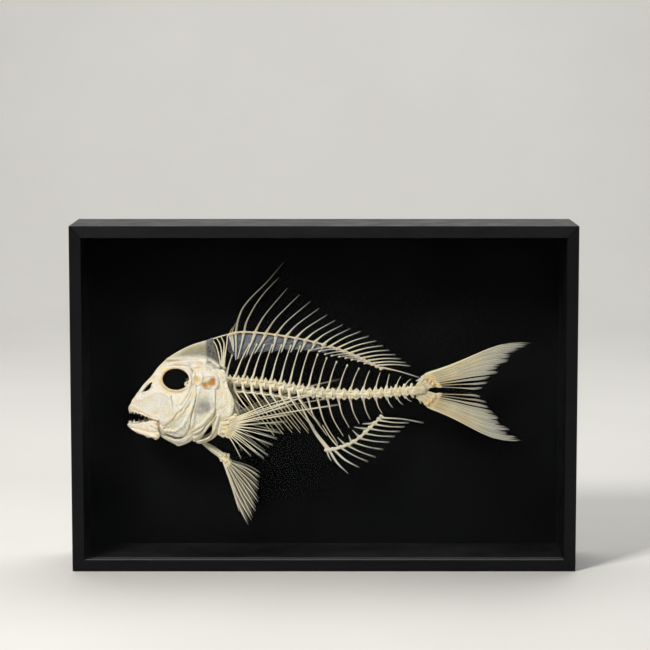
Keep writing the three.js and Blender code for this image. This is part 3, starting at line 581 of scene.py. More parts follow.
def orbit_distance(scale, drop=0.0):
    def distance(x, z):
        return ellipse_distance(x, z, ORBIT_X, ORBIT_Z - drop, ORBIT_LONG * scale,
            ORBIT_HIGH * scale)
    return distance


def build_cranium():
    """Braincase, snout and crest, from half widths and heights at places along X."""
    x_keys = [-178, -173, -160.5, -148, -135.5, -123.5, -112, -105, -102.6]
    keys = {
        "crest_top": [184.5, 190.8, 203.5, 213.2, 219.8, 223.8, 226.6, 210, 190],
        "crest_half": [2, 2.6, 1.3, 0.9, 0.7, 0.6, 0.6, 1, 1.5],
        "roof": [180, 187.5, 199.5, 204.5, 206, 206, 203, 198, 188],
        "roof_half": [2.5, 5, 9.3, 12.2, 13.6, 13.8, 12.6, 10, 5],
        "floor": [178, 180, 173.3, 169.3, 168.8, 171, 174.5, 176.5, 180],
        "floor_half": [1.5, 3.5, 4.8, 3.8, 5.5, 8.5, 9.3, 8, 4],
    }
    block = Block((-180, -15.5, 165), (-100, 15.5, 231), COARSE)
    x, y, z = block.whole()

    def value(name):
        return np.interp(x, x_keys, keys[name])

    roof, low, half = value("roof"), value("floor"), value("roof_half")
    height = np.maximum(roof - low, 2)
    v = np.clip((z - low) / height, 0, 1)
    width = value("floor_half") + (half - value("floor_half")) * np.sin(v * np.pi / 2) ** 0.8
    width = width * (1 - 0.1 * np.sin(v * np.pi) ** 2)
    top = roof - 2.6 * (y / half) ** 2
    across = np.abs(y) - width + 0.25 * grain(x, z, y, 4.0)
    body = rounded(rounded(across, z - top, 2.2), low - z, 2.0)
    ends = np.maximum(-176.0 - x, x + 103.4)
    body = rounded(body, ends, 1.5)
    body = rounded(body, -orbit_distance(1.24, 2.6)(x, z) + 0 * y, 1.0)
    block.add(body)
    outline = xz(-176, 184, -172.9, 190, -164.7, 200.6, -152.6, 210.8, -134.5, 220.4, -117.4, 226,
        -112, 228.2, -109.8, 220.6, -107.2, 212, -105.6, 204, -104.8, 198, -112, 190, -150, 196)
    outline = spline(outline, 96, closed=True)
    crest = outline_distance(outline, x[:, 0, 0][:, None], z[0, 0][None, :])[:, None, :]
    blade = np.abs(y) - value("crest_half") - 1.4 * step_up(-(z - roof) + 5, 0, 6)
    block.add(rounded(crest, blade, 0.5), 1.6)
    block.cut(orbit_distance(1.24, 2.6)(x, z) + 0 * y, 0.8)
    for _, side in SIDES:
        block.arms(side,
            (([(-172, 186.5, 5), (-160, 199.5, 9), (-148, 204.2, 12.4), (-136, 203.2, 13.6),
                (-129, 197, 13.2)], [1.2, 1.3, 1.5, 1.4, 1.2], 1.2),
                ([(-157, 206.5, 2.4), (-141, 207.6, 3.6), (-128, 208, 4.2), (-119, 206.5, 5.4),
                (-115, 197.5, 9.5)], [1, 1.4, 1.5, 1.5, 1.4], 2.4),
                ([(-129, 201, 12.6), (-118, 198.5, 13.2), (-106, 195, 11.5)], [1.3, 1.5, 1.2], 1.2),
                ([(-128, 186, 14), (-120, 186, 14)], [2.4, 2], 1.5, 1, True),
                ([(-113, 183, 14), (-110, 187, 14)], [1.8, 1.5], 1.2, 1, True),
                ([(-137, 180.5, 3.5), (-134, 183.5, 4)], [2.3, 3], 1.2),
                ([(-121, 206, 6), (-116.5, 199, 9), (-109, 196.5, 11), (-103.5, 193, 11.5)],
                [1.2, 1.5, 1.6, 1], 0.9),
                ([(-128, 204.5, 9.5), (-122, 199.5, 13), (-121, 192, 15)], [1, 1.3, 1.1], 0.8),
                ([(-126, 196, 14.5), (-119.5, 201.5, 11.5), (-116.6, 208.5, 6)], [1.1, 1.2, 0.8],
                0.7),
                ([(-126, 194, 14.6), (-116, 195.5, 13.6), (-109, 190, 12.5)], [1.3, 1.4, 1.2], 0.8),
                ([(-181, 175, 8), (-173, 183.5, 4)], [2.4, 2.4], 0.8, 1, True),
                ([(-181, 175, 2), (-174, 182.5, 2)], [2.4, 2.2], 0.8, 1, True)))
    points, quads, triangles, tints = block.surface().joined()
    above = step_up(points[:, 2] - np.interp(points[:, 0], x_keys, keys["roof"]), 1.0, 7.0)[:, None]
    crest_line = np.interp(points[:, 0], x_keys[:7], keys["crest_top"][:7])
    edge = np.exp(-np.maximum(crest_line - points[:, 2], 0) / 2.2)[:, None]
    cloud = grain(points[:, 0], points[:, 2], 0, 6.0)[:, None]
    dull = np.array([0.38, 0.385, 0.32]) * (1 + 0.16 * cloud)
    dull = dull + 0.2 * step_up(-points[:, 0], 136, 150)[:, None]
    tints[:, :3] *= 1 - above * (1 - (dull * (1 - edge) + edge * np.array([0.92, 0.88, 0.76])))
    behind = (above[:, 0] * step_up(points[:, 0] + 0.5 * cloud[:, 0], -119.3, -117))[:, None]
    mottled = 0.2 + 0.12 * grain(points[:, 0], points[:, 2], 0, 2.2)[:, None] + 0.12 * edge
    tints[:, :3] = tints[:, :3] * (1 - behind) + behind * mottled * np.array([0.96, 1, 1])
    tints[:, 3] = 1 - 0.35 * behind[:, 0]
    form = Form().reset(points, quads, triangles, tints).paint([
            (-124.2, 200.8, 3.2, (0.95, 0.84, 0.52), 0.9), (-163, 195, 6, (1, 0.93, 0.76), 0.7),
            (-118, 205, 4, WHITE, 0.7), (-112, 196, 4, WHITE, 0.6), (-150, 204, 5, CREAM, 0.6)])
    piece("cranium_bone", form, "skull_bone", "cranium")


def whole_jaw(plan, count):
    """The middle line of a jaw from above, mirrored from its left half."""
    half = spline(plan, count)
    return np.vstack([half, half[::-1][1:] * [1, -1]])


def jaw_block(side_outline, plan, thick, low, high):
    """A U-shaped jaw: its outline in the side view, and one side of its middle line from above."""
    block = Block(low, high, 0.4)
    x, y, z = block.whole()
    corners = spline(side_outline, 8 * len(side_outline), closed=True)
    flat = outline_distance(corners, x[:, 0, 0][:, None], z[0, 0][None, :])[:, None, :]
    track = whole_jaw(plan, 24)
    plan_gap = line_distance(track, x[:, 0, 0][:, None], y[0, :, 0][None, :])[:, :, None]
    bulge = 0.22 * grain(x, z, y, 3.5)
    block.distance = rounded(flat, plan_gap - thick + bulge, 0.8).astype(np.float32)
    return block


def jaw_teeth(form, plan, heights, roots, count, down):
    """Pointed teeth along the front of a jaw, longest at the very front."""
    track = whole_jaw(plan, 60)
    for i in range(count):
        t = (i + 0.5) / count
        x, y = along(track, 0.5 + (t - 0.5) * 0.8)
        front = 1 - abs(2 * t - 1)
        tall = heights[0] + (heights[1] - heights[0]) * front ** 1.5
        tall *= 1 + 0.15 * math.sin(i * 2.7)
        root = np.interp(x, *roots)
        sign = -1 if down else 1
        tip = at(x - 0.7 * front, root + sign * tall, y * 0.97)
        tube(form, spline(
                [at(x, root - sign * 1.2, y), at(x - 0.1, root + sign * tall * 0.45, y), tip], 7),
            [0.9, 0.72, 0.45, 0.12], sides=8, tint=(1, 0.99, 0.95))


def build_jaws():
    upper_plan = xz(-165.7, -15.2, -171.5, -13.6, -178, -11.8, -187, -8.8, -193.6, -4.8, -195.6, 0)
    outline = xz(-196.8, 155, -196.4, 158, -193.6, 160.6, -189.6, 161, -184.9, 159, -178.8, 155.2,
        -171.7, 151, -165.7, 148.4, -166.4, 146.8, -171.8, 148, -177.9, 150.2, -185, 152.6,
        -191.1, 154)
    block = jaw_block(outline, upper_plan, 1.7, (-199, -17.5, 145), (-163, 17.5, 187))
    for _, side in SIDES:
        block.arms(side,
            (([(-193.8, 157.5, 2.4), (-190.6, 164, 2.7), (-186.6, 170, 2.8), (-182.6, 175.4, 2.4)],
                [2.6, 2.5, 2.3, 1.2], 1.2),
                ([(-190.5, 158.5, 6.2), (-186, 165, 6.4)], [1.8, 1.2], 1.2),
                ([(-192, 156.5, 8.2), (-183, 154, 11.8), (-173, 149.6, 15)], [0.5, 0.6, 0.4], 0.8,
                1, True)))
    block.rod(at(-202, 150, 0), at(-176, 190, 0), (0.22, 0.22), 0.2, hollow=True)
    form = block.surface(tint=(1, 0.97, 0.91))
    form.paint([(-187, 157, 5, PINK, 0.8), (-175, 151.5, 5, PINK, 0.6),
            (-190, 167, 5, (1, 0.93, 0.82), 0.6)])
    roots = ([-197, -191, -185, -178, -171, -165], [155, 154.2, 152.8, 150.4, 148.2, 147])
    jaw_teeth(form, upper_plan, (1.3, 2.8), roots, 18, True)
    piece("premaxillae", form, "skull_bone", "upper_jaw")

    lower_plan = xz(-161.5, -14.4, -166, -13.4, -172, -11.6, -184, -8.6, -193.4, -4.9, -196.4, 0)
    outline = xz(-199, 140, -196.4, 141.4, -190.2, 142, -185.1, 143.2, -178, 144.6, -171.4, 146.4,
        -167.4, 145.2, -165.4, 141.5, -166.6, 137.8, -164.8, 134, -164.4, 130.6, -166.6, 127.6,
        -169.6, 127, -173, 129, -177, 128.6, -181.3, 131.2, -186.5, 132.2, -191.5, 135.2, -196, 138)
    block = jaw_block(outline, lower_plan, 1.8, (-200, -17, 125), (-158.5, 17, 150))
    for _, side in SIDES:
        block.arms(side,
            (([(-192, 136.4, 7.4), (-184, 133.8, 10.9), (-176, 131.2, 13), (-168, 129.6, 14.8)],
                [0.9, 1.2, 1.3, 1.2], 0.8),
                ([(-194, 138, 6.4), (-190, 137.4, 8.6), (-184, 136.2, 10.9), (-178, 134.8, 12.5),
                (-172, 134, 14), (-166, 134.6, 15.8)], [0.5, 1.1, 1.4, 1.5, 1.4, 1], 0.8, 1, True),
                ([(-175.4, 145.2, 12.8), (-174, 140, 13.4), (-177, 136, 12.6)], [0.4, 0.8, 0.5],
                0.5, 1, True), ([(-172.5, 142, 13.8), (-167.5, 139.5, 15.2)], [1, 1.2], 0.9),
                ([(-167, 147.8, 15), (-166.2, 137, 15.4)], [0.5, 0.35], 0.5, 1, True)))
    block.rod(at(-200, 138, 0), at(-190, 138, 0), (0.2, 0.2), 0.2, hollow=True)
    form = block.surface(tint=(1, 0.98, 0.92))
    form.paint([(-184, 141.5, 4, (1, 0.91, 0.84), 0.9), (-178, 136, 2.6, (0.88, 0.76, 0.6), 0.8),
            (-167, 143, 2.4, (0.72, 0.44, 0.28), 1), (-166, 131, 2.6, (0.55, 0.4, 0.26), 0.9),
            (-172, 131, 4, CREAM, 0.6), (-178, 134, 3, (1, 0.9, 0.78), 0.7)])
    roots = ([-198, -195, -190, -184, -176, -168], [140.6, 142, 142.6, 143.8, 145.2, 146.4])
    jaw_teeth(form, lower_plan, (1.2, 2.5), roots, 16, False)
    piece("dentaries", form, "skull_bone", "lower_jaw")
    pair("jaw_joint", shell(xz(-166, 146, -162, 143.5, -157.6, 139, -158, 133.8, -163, 131.4,
            -166.4, 133.5, -167.4, 139), lift=-0.8, thick=2.6,
            ridges=[(xz(-166, 141, -159, 137), 1.2, 0.7)], tint=(1, 0.94, 0.82)), "skull_bone")


def build_cheeks():
    """The plates round the eye and over the jaws; deeper ones close the joints between them."""
    nostril = xz(-182, 175, -177.2, 181.4, -172.4, 184.8, -172.6, 181, -177, 175.8)
    nostril_edge = spline(nostril, 40, closed=True)

    def nostril_hole(x, z):
        return outline_distance(nostril_edge, x, z)

    lachrymal = xz(-182.4, 171.6, -176.6, 174, -169, 176.6, -162, 176.2, -157, 173.8, -152.9, 171.8,
        -152, 167, -150.9, 160.5, -147.6, 155.6, -149.6, 150.2, -154.8, 144.6, -160.7, 141.8,
        -166.2, 145.8, -172.8, 149.8, -179.9, 153.8, -186.4, 158.2, -190, 163, -187.6, 168)
    plate("lachrymal", "skull_bone", "cheek", lachrymal, lift=0.15, thin_edge=0.7,
        ridges=[(xz(-162, 175, -156, 172, -153, 169), 1.4, 0.5),
            (xz(-186, 166, -178, 170, -168, 174.5), 1.6, 0.4),
            (xz(-181, 156.4, -170, 150, -160, 144.6, -152, 149), 1.8, 0.5)],
        pits=[(-173, 166, 7, 0.8), (-158, 163, 6, 0.9), (-165, 155, 4, 0.4)],
        relief=lambda x, z: 0.22 * np.sin(1.9 * x + 0.8 * np.sin(z / 3)) * step_up(z, 150, 158)
            * (1 - step_up(z, 167, 175)), tint=(0.96, 0.96, 0.96), patches=[
            (-186, 165, 4, PINK, 0.8), (-178, 170, 4, (1, 0.92, 0.86), 0.6),
            (-153, 149, 5, CREAM, 0.8), (-166, 166, 7, (0.93, 0.94, 0.98), 0.8),
            (-184, 160, 4, (1, 0.95, 0.85), 0.8), (-170, 152, 4, (1, 0.93, 0.8), 0.6),
            (-148.6, 161, 3, (0.86, 0.76, 0.56), 0.8), (-152, 153, 4, (0.95, 0.84, 0.62), 0.6)])

    ring = xz(-189.4, 168, -184, 177.4, -178, 184, -172.4, 189.8, -168, 195, -161, 200.4,
        -150, 203.8, -139, 202, -132, 196, -129.6, 188, -130.8, 179.6, -134.4, 170.4, -139.2, 162.8,
        -146.6, 155, -152.6, 157.5, -155, 164, -156.6, 170.2, -163.3, 173.2, -168, 173.6,
        -175.6, 171.5, -184, 167.6)
    raised, groove = orbit_distance(1.1), xz(-152.3, 171.5, -151.3, 160.3)

    def ring_relief(x, z):
        rim = 1.4 * np.exp(-(raised(x, z) / 1.3) ** 2)
        return rim - 1.6 * np.exp(-(line_distance(groove, x, z) / 0.8) ** 2)

    # Warm amber for painted shade on the front and upper part of the eye's rim.
    amber_shade = (1, 0.9, 0.66)
    for word, side in SIDES:
        hole = orbit_distance(1.0, 0.2) if side == LEFT else orbit_distance(1.22, 3.4)

        def openings(x, z):
            return np.minimum(hole(x, z), nostril_hole(x, z + (0 if side == LEFT else 2.2)))

        form = shell(ring, thick=2.2, hole=openings, thin_edge=0.25, ridges=[(nostril_edge, 1, 0.6),
                (xz(-150.5, 168, -145, 161, -142, 158), 1.6, 0.6),
                (xz(-170, 193, -176, 187, -185, 176), 2, 0.7),
                (xz(-134, 193, -133, 184, -137, 174, -143, 165), 1.3, 0.9)],
            relief=ring_relief)
        form.paint([(-163, 186, 5, amber_shade, 0.9), (-161, 198, 6, amber_shade, 0.8),
                (-157, 178, 5, amber_shade, 0.8), (-147, 176.5, 5, (1, 0.95, 0.76), 0.7),
                (-137, 174, 6, WHITE, 0.4), (-176, 181, 4, (1, 0.88, 0.7), 0.8),
                (-132, 188, 4, (1, 0.95, 0.8), 0.5), (-170, 190, 3, (1, 0.9, 0.78), 0.7)])
        points, quads, triangles, tints = form.joined()
        # Painted shade: a warm brown ring along the eye's rim, weaker towards the back.
        rim = orbit_distance(1.0, 0.2)(points[:, 0], points[:, 2])
        rim_shade = np.exp(-((rim - 0.6) / 1.9) ** 2) * (
            0.75 + 0.35 * grain(points[:, 0], points[:, 2], 0, 6))
        rim_shade = (rim_shade * (1 - 0.6 * step_up(points[:, 0], -140, -134)))[:, None]
        tints[:, :3] *= 1 - rim_shade * (1 - np.array([0.9, 0.74, 0.48]))
        knob = Block((-141, -17, 178), (-131, -8, 187))
        knob.rod(at(-138.2, 182.4, -13.2), at(-135.6, 181.2, -14.4), (1.5, 1.9), 0.5)
        knob.rod(at(-138.8, 184.2, -12.8), at(-136.6, 184.6, -14), (0.9, 1.2), 0.6)
        form = knob.surface(Form().reset(points, quads, triangles, tints), tint=(0.82, 0.82, 0.8))
        piece(f"orbital_ring_{word}", form if side == LEFT else form.mirrored(), "skull_bone",
            f"cheek_{word}")

    plate("maxilla", "skull_bone", "maxilla", xz(-189, 165.5, -187, 168.5, -181, 164.5, -175.5, 160,
            -169, 152.5, -165, 146, -164.2, 142.5, -167.4, 142.8, -170.4, 146.6, -175.6, 152.4,
            -182, 157.8), lift=-2.3, thick=1.6, tint=(1, 0.95, 0.88))

    plate("cheek_underplate", "skull_bone", "cheek", xz(-163, 147, -160, 139, -150, 133,
            -141, 128.8, -133, 127, -127, 130.5, -118, 141.5, -110, 152, -108, 165, -106.5, 188,
            -110, 195.5, -120, 198.5, -130, 198, -131, 186, -134, 176, -141, 164, -148, 156,
            -156, 151), lift=-1.2, thick=1.5, ridges=[
            (xz(-128, 190, -132, 172, -142, 155, -156, 142), 2, 0.8),
            (xz(-124, 184, -112, 190, -108, 194), 1.6, 0.7)], tint=(1, 0.95, 0.82),
        patches=[(-146, 153, 5, (1, 0.92, 0.7), 0.6), (-110.6, 186.4, 3.8, (0.5, 0.24, 0.05), 1.8),
            (-118.4, 183.2, 3, (0.52, 0.26, 0.06), 1.8),
            (-114.4, 184.8, 3, (0.55, 0.29, 0.07), 1.5),
            (-127.2, 188.6, 3.6, (0.8, 0.6, 0.24), 1.4)])


def build_gill_covers():
    outline = xz(-129.4, 184.2, -126.4, 183.4, -126.6, 174.9, -129.6, 162.9, -132.6, 152.6,
        -134, 143.2, -136.4, 136.7, -139.6, 132, -144.9, 129.2, -150.9, 130, -157.9, 132.4,
        -164, 134.6, -164, 137.7, -160.8, 140.2, -155.7, 141.6, -150.5, 145.2, -144.6, 152.3,
        -138.6, 160.9, -134, 169.8, -131.4, 178.7)
    plate("preopercle", "gill_cover_bone", "preopercle", outline, thick=2.0, thin_edge=0.8,
        ridges=[(
            xz(-128.6, 184, -131.4, 174, -136.6, 164.4, -143.4, 154.6, -151.2, 146.4, -162, 139.6),
            1.9, 1.4),
            (xz(-127.6, 178.8, -130.4, 164.9, -135.4, 151.5, -141, 141.6, -149, 135.8, -161, 136.2),
            1.4, 0.9)],
        pits=[(-133.5, 160, 2.6, 0.6), (-139, 150, 2.6, 0.7), (-147, 140.5, 2.6, 0.6)],
        relief=lambda x, z: 0.12 * np.sin(np.arctan2(z - 150, x + 150) * 26),
        patches=[(-131, 174, 3, HONEY, 1), (-138, 162, 3, HONEY, 1), (-146, 151.5, 3, HONEY, 1),
            (-157, 142, 4, HONEY, 1), (-137, 141, 4, WHITE, 0.8), (-146, 134, 4, WHITE, 0.6)])

    plate("interopercle", "gill_cover_bone", "interopercle", xz(-165, 132.6, -157, 129.8,
            -149, 127.2, -142.9, 128, -137.2, 131.6, -134.4, 138.6, -132.4, 136.8, -131, 131.3,
            -132.4, 125.7, -138.2, 122, -146.3, 118.9, -150.3, 121.2, -157.2, 125, -163.1, 128.8),
        lift=-0.3, thick=1.6, thin_edge=0.75,
        ridges=[(xz(-162, 131, -150, 124.5, -141, 124.6, -134.5, 130), 1.5, 0.5)],
        relief=lambda x, z: 0.08 * np.sin(2 * x + z),
        patches=[(-148, 125, 6, WHITE, 0.5), (-158, 129, 4, CREAM, 0.5)])

    plate("subopercle", "gill_cover_bone", "opercle", xz(-131, 131.6, -126.4, 131.6, -121.8, 135.8,
            -117.6, 142, -112.3, 148, -108.2, 153.6, -107.2, 151.6, -110.6, 145.6, -115.4, 139.4,
            -119.4, 133.6, -123.6, 127.8, -130, 124, -132.2, 126.4), lift=-0.4, thick=1.5,
        thin_edge=0.75, ridges=[(xz(-130, 128, -120, 135.6, -109.5, 151), 1.4, 1)],
        tint=(1, 0.96, 0.86), patches=[(-111, 148, 3, (1, 0.9, 0.7), 0.8)])

    outline = xz(-126.4, 182.6, -120.6, 180.4, -114.6, 179, -108.8, 179.6, -108, 175, -108.4, 166,
        -108.6, 158, -110.2, 152.6, -113.6, 147.4, -118.2, 142.4, -122.4, 136.4, -126.4, 132.2,
        -130.8, 131.8, -133.4, 137.4, -133.8, 144.2, -131.8, 152.6, -128.8, 162.9, -127.2, 172.9)
    focus = (-124.6, 179.0)

    def growth(x, z):
        turn = np.arctan2(z - focus[1], x - focus[0])
        away = np.hypot(x - focus[0], z - focus[1])
        return 0.1 * np.sin(turn * 34) * step_up(away, 6, 20)

    plate("opercle", "gill_cover_bone", "opercle", outline, lift=-0.1, thick=1.6, thin_edge=0.8,
        relief=growth, ridges=[([focus, (-129.2, 160), (-131.4, 141)], 1.7, 1.1),
            ([focus, (-113.5, 170), (-110, 158)], 1.5, 0.6),
            (xz(-131.2, 137, -121.6, 143.6, -110.4, 156.4), 1.7, 1.1),
            (xz(-130, 133.6, -119, 139.5), 1, 0.9)],
        pits=[(-119.4, 165, 5.5, 0.8), (-123.9, 155.8, 4.5, 0.8)], patches=[
            (-119.4, 162.8, 5.6, (0.34, 0.36, 0.39), 1.5),
            (-123.8, 156.6, 4.4, (0.5, 0.52, 0.54), 1.1),
            (-116.6, 159.6, 3.8, (0.4, 0.42, 0.45), 1), (-118.6, 169.4, 4, (0.66, 0.68, 0.7), 0.9),
            (-115, 150, 4, HONEY, 0.8), (-127, 139, 4, (1, 0.93, 0.72), 0.7),
            (-118, 180, 4, (0.9, 0.92, 0.95), 0.6)])

    plate("hyomandibular", "skull_bone", "hyomandibular", xz(-131, 195, -126.2, 194.6,
            -119.2, 196.4, -110.6, 194.6, -104.6, 190.2, -105.2, 181.4, -110.1, 178.6,
            -116.6, 179.6, -122.6, 180, -127.2, 182.2, -130.6, 185.4), lift=-0.1, thick=1.8,
        thin_edge=0.8, ridges=[(xz(-131, 184, -129.6, 194.6), 1.4, 0.9),
            (xz(-124.2, 184, -121.6, 190, -122.6, 195.6), 1.4, 1.3),
            (xz(-121.6, 191, -114.6, 193, -108, 192), 1.4, 1.1),
            (xz(-106.4, 191, -106.8, 182), 1.3, 1), (xz(-113.6, 180.2, -114.2, 182), 0.8, 0.8)],
        pits=[(-126.8, 189, 2.2, 1), (-110.8, 186, 3.2, 1.5), (-118.6, 183, 2.2, 1.3)],
        patches=[(-110.6, 186.4, 3.6, (0.52, 0.25, 0.05), 1.6),
            (-118.4, 183.2, 2.8, (0.56, 0.29, 0.07), 1.5),
            (-114.4, 184.8, 2.8, (0.6, 0.33, 0.09), 1.3),
            (-127.2, 188.6, 3.6, (0.8, 0.6, 0.24), 1.2), (-122.6, 192, 2, WHITE, 1),
            (-106.8, 186, 1.6, WHITE, 1)])


# ---- Backbone ----------------------------------------------------------------------------

VERTEBRAE, TRUNK, LAST_SPOOL, LAST_SPINE = 22, 9, 20, 19
COLUMN = even(line(-102.6, 184.6, -60, 180.8, -14, 173.4, 30, 171, 76, 173.8, 103.6, 176.6), 2001)
LENGTHS = along([8.1, 9.4, 9.5, 9.8, 13.2, 8, 6], np.arange(VERTEBRAE) / (VERTEBRAE - 1))
STARTS = np.concatenate([[0], np.cumsum(LENGTHS)]) / LENGTHS.sum()
RADII = [5, 5.4, 5.8, 5.6, 5, 4.6, 4.2, 3.6]
COLUMN_SCALE = 205.9 / LENGTHS.sum()


def column(t):
    return along(COLUMN, t)


def vertebra_middle(i):
    return column((STARTS[i] + STARTS[i + 1]) / 2)


def neural_spine(i):
    middle = vertebra_middle(i)
    t = (i - 1) / 18
    lean = along([15.3, 11, 11, 8.8, 8.6, 3.4, 9], t) if i else 6
    height = along([38, 39.5, 43, 35, 26, 18.8, 9], t) if i else 26
    foot = middle + at(0.2, 3.4)
    return [foot, at(foot[0] + lean * 0.46, middle[2] + 3 + height * 0.5),
        middle + at(lean, height)]


def haemal_spine(i):
    order = i - TRUNK
    middle = vertebra_middle(i)
    t = (order - 1) / 8
    lean = along([20.5, 11, 7.6, 6.8, 8], t) if order else 19
    drop = along([52.5, 34, 25.6, 15.2, 10.5], t) if order else 44.5
    root = middle + at(-1 + 0.25 * order, -3.4)
    return [root, at(root[0] + lean * 0.36, middle[2] - 3 - drop * 0.5), middle + at(lean, -drop)]


def spool(block, i):
    """An hourglass centrum with a raised rim at each end and struts along its waist."""
    a, b = column(STARTS[i]), column(STARTS[i + 1])
    if i == 0:
        a = a + (b - a) * 0.04
    radius = along(RADII, (STARTS[i] + STARTS[i + 1]) / 2)
    cuts, (x, y, z) = block.window(np.minimum(a, b) - radius - 2, np.maximum(a, b) + radius + 2)
    length = np.linalg.norm(b - a)
    ahead = (b - a) / length
    run = (x - a[0]) * ahead[0] + (z - a[2]) * ahead[2]
    up = -(x - a[0]) * ahead[2] + (z - a[2]) * ahead[0]
    out = np.hypot(up, y)
    turn = np.arctan2(up, y)
    u = np.clip(2 * run / length - 1, -1, 1)
    struts = 0.5 + 0.5 * np.cos(4 * turn)
    waist = 0.5 + 0.15 * struts + (0.5 - 0.15 * struts) * np.abs(u) ** 2.0
    gap = (out - radius * waist) * 0.85
    ends = np.abs(run - length / 2) - length / 2 + 0.22
    solid = rounded(gap, ends, 0.3)
    block.distance[cuts] = smooth_min(block.distance[cuts], solid, 0.15)


def arch(block, i, up, process):
    """The two pillars over (or under) a centrum, and the processes that point ahead and back."""
    middle, radius = vertebra_middle(i), along(RADII, (STARTS[i] + STARTS[i + 1]) / 2)
    half = LENGTHS[i] / 2 * COLUMN_SCALE
    tip = (neural_spine(i) if up else haemal_spine(i))[0]
    way = 1 if up else -1
    for _, s in SIDES:
        foot = middle + at(-0.5, way * radius * 0.62, s * radius * 0.5)
        block.rod(foot, tip + at(0.4, way * 3.2, 0.25 * s), (1.5, 0.9), 0.9, 0.75)
        block.rod(foot + at(half * 0.45, 0), tip + at(0.8, way * 2.2, 0.2 * s), (1, 0.7), 0.9, 0.6)
        front = middle + at(-half * 0.7, way * radius * 0.7, s * radius * 0.42)
        block.rod(front, front + at(-1.6, way * process, s * 0.3), (1, 0.35), 0.7, 0.7)
        rear = middle + at(half * 0.72, way * radius * 0.72, s * radius * 0.4)
        block.rod(rear, rear + at(1.5, way * process * 0.75, s * 0.2), (0.9, 0.3), 0.7, 0.7)


def middle_low(i, side):
    """Lower end of a trunk vertebra's side process, where its rib hangs."""
    return vertebra_middle(i) + at(1.0, -8.4, 6.0 * side)


def build_backbone():
    bleached = [WHITE, (0.96, 0.95, 0.92), (0.84, 0.84, 0.82)]
    parts = (("vertebrae_trunk", "trunk_vertebrae", 0, TRUNK),
        ("vertebrae_tail", "tail_vertebrae", TRUNK, LAST_SPOOL))
    for node, name, first, last in parts:
        a, b = column(STARTS[first]), column(STARTS[last])
        block = Block((a[0] - 1, -8.5, 155.5), (b[0] + 1.5, 8.5, 199))
        for i in range(first, last):
            spool(block, i)
        form = Form()
        for i in range(LAST_SPINE, last):
            arch(block, i, True, 2.0)
            arch(block, i, False, 2.0)
        for i in range(first, min(last, LAST_SPINE)):
            arch(block, i, True, 3.4 if i < TRUNK else 2.4)
            path = spline(neural_spine(i), 22)
            slim = along([1, 0.92, 0.6], i / LAST_SPINE)
            tube(form, path, np.array([1.35, 0.85, 0.6, 0.5, 0.4]) * slim, flat=0.8, tint=bleached)
            if i < 14:
                tube(form, path[-3:] + at(0.3, 0.3), [0.5, 0.72, 0.95], flat=0.7,
                    tint=(0.9, 0.88, 0.8))
            if i < TRUNK:
                if 0 < i < 7:
                    for _, s in SIDES:
                        block.path([middle_low(i, s),
                                (middle_low(i, s) + middle_low(i + 1, s)) / 2 - at(0, 0.9),
                                middle_low(i + 1, s)], [1, 0.75, 1], 0.6, 0.8)
                middle = vertebra_middle(i)
                for _, s in SIDES:
                    block.path([middle + at(0, -1.5, 3.5 * s), middle + at(0.4, -5.6, 5.4 * s),
                            middle + at(1, -8.8, 6 * s)], [1.5, 1.25, 1.1], 1.0, 0.8)
            else:
                arch(block, i, False, 2.0)
                path = spline(haemal_spine(i), 22)
                tube(form, path, np.array([1.3, 0.85, 0.6, 0.5, 0.32]) * slim, flat=0.8,
                    tint=bleached)
        block.surface(form, tint=(1, 0.98, 0.92))
        piece(name, form, "body_bone", node)


def rib_path(i, side):
    s = i / (TRUNK - 1)
    middle = vertebra_middle(i)
    root = middle + at(1, -8.5, side * 6.2)
    tip = at(along([-77, -50, -32, -15.6, -4], s), along([155, 131.5, 134, 133, 140], s),
        side * along([15, 14, 12, 9, 5], s))
    half = root + (tip - root) * 0.45
    return [root, at(half[0] - 1.5, half[2] + 1.5, side * along([16.5, 18, 9], s)), tip]


def build_ribs():
    for word, side in SIDES:
        form = Form()
        tints = np.array([WHITE, CREAM, (0.84, 0.82, 0.74)]) * (FAR_RIBS if side == RIGHT else 1.0)
        for i in range(TRUNK):
            path = spline(rib_path(i, side), 30)
            tube(form, path, [1.05, 0.66, 0.52, 0.42, 0.25], flat=0.8, tint=tints)
        piece(f"rib_cage_{word}", form, "body_bone", f"ribs_{word}")


# ---- Dorsal fin --------------------------------------------------------------------------

RIDGE = spline(line(-97, 230.8, -82, 234, -50, 231.4, -12, 224.4, 25, 213, 58.5, 196.8), 400)


def ridge_at(x):
    return at(x, np.interp(x, RIDGE[:, 0], RIDGE[:, 2]))


def spine_base(i):
    order = i - 3
    return ridge_at(
        [-94.6, -92.2, -88.4][i] if i < 3 else -80 + 11.2 * order - 0.15 * order * order)


def ray_base(j):
    return ridge_at(7 + 7.2 * j - 0.17 * j * j)


def dorsal_spine_path(i):
    base = spine_base(i) + at(0, 0.9 if i > 3 else 0)
    if i == 2:
        return [base, *line(-86.4, 245, -82.1, 256.6, -76, 265.4, -68, 273.8, -59.5, 282,
                -50.6, 292, -40.3, 304.3)]
    if i == 3:
        return [base,
            *line(-78.4, 242, -74.7, 250.6, -67.9, 262.6, -59.8, 273.4, -52, 281.9, -45.4, 288.4)]
    length = [8, 11][i] if i < 2 else along([54, 48.5, 39.5, 34, 30.5], (i - 4) / 7)
    angle = [70, 72][i] if i < 2 else along([53.8, 45, 38.2, 32, 30.5], (i - 4) / 7)
    return bowed(base, reach(base, length, angle), 0.04, 0.36)


def at_height(path, z):
    a, b, c = path
    low, high = (b, c) if (z - b[2]) * (c[2] - b[2]) > 0 else (a, b)
    return low[0] + (high[0] - low[0]) * (z - low[2]) / (high[2] - low[2])


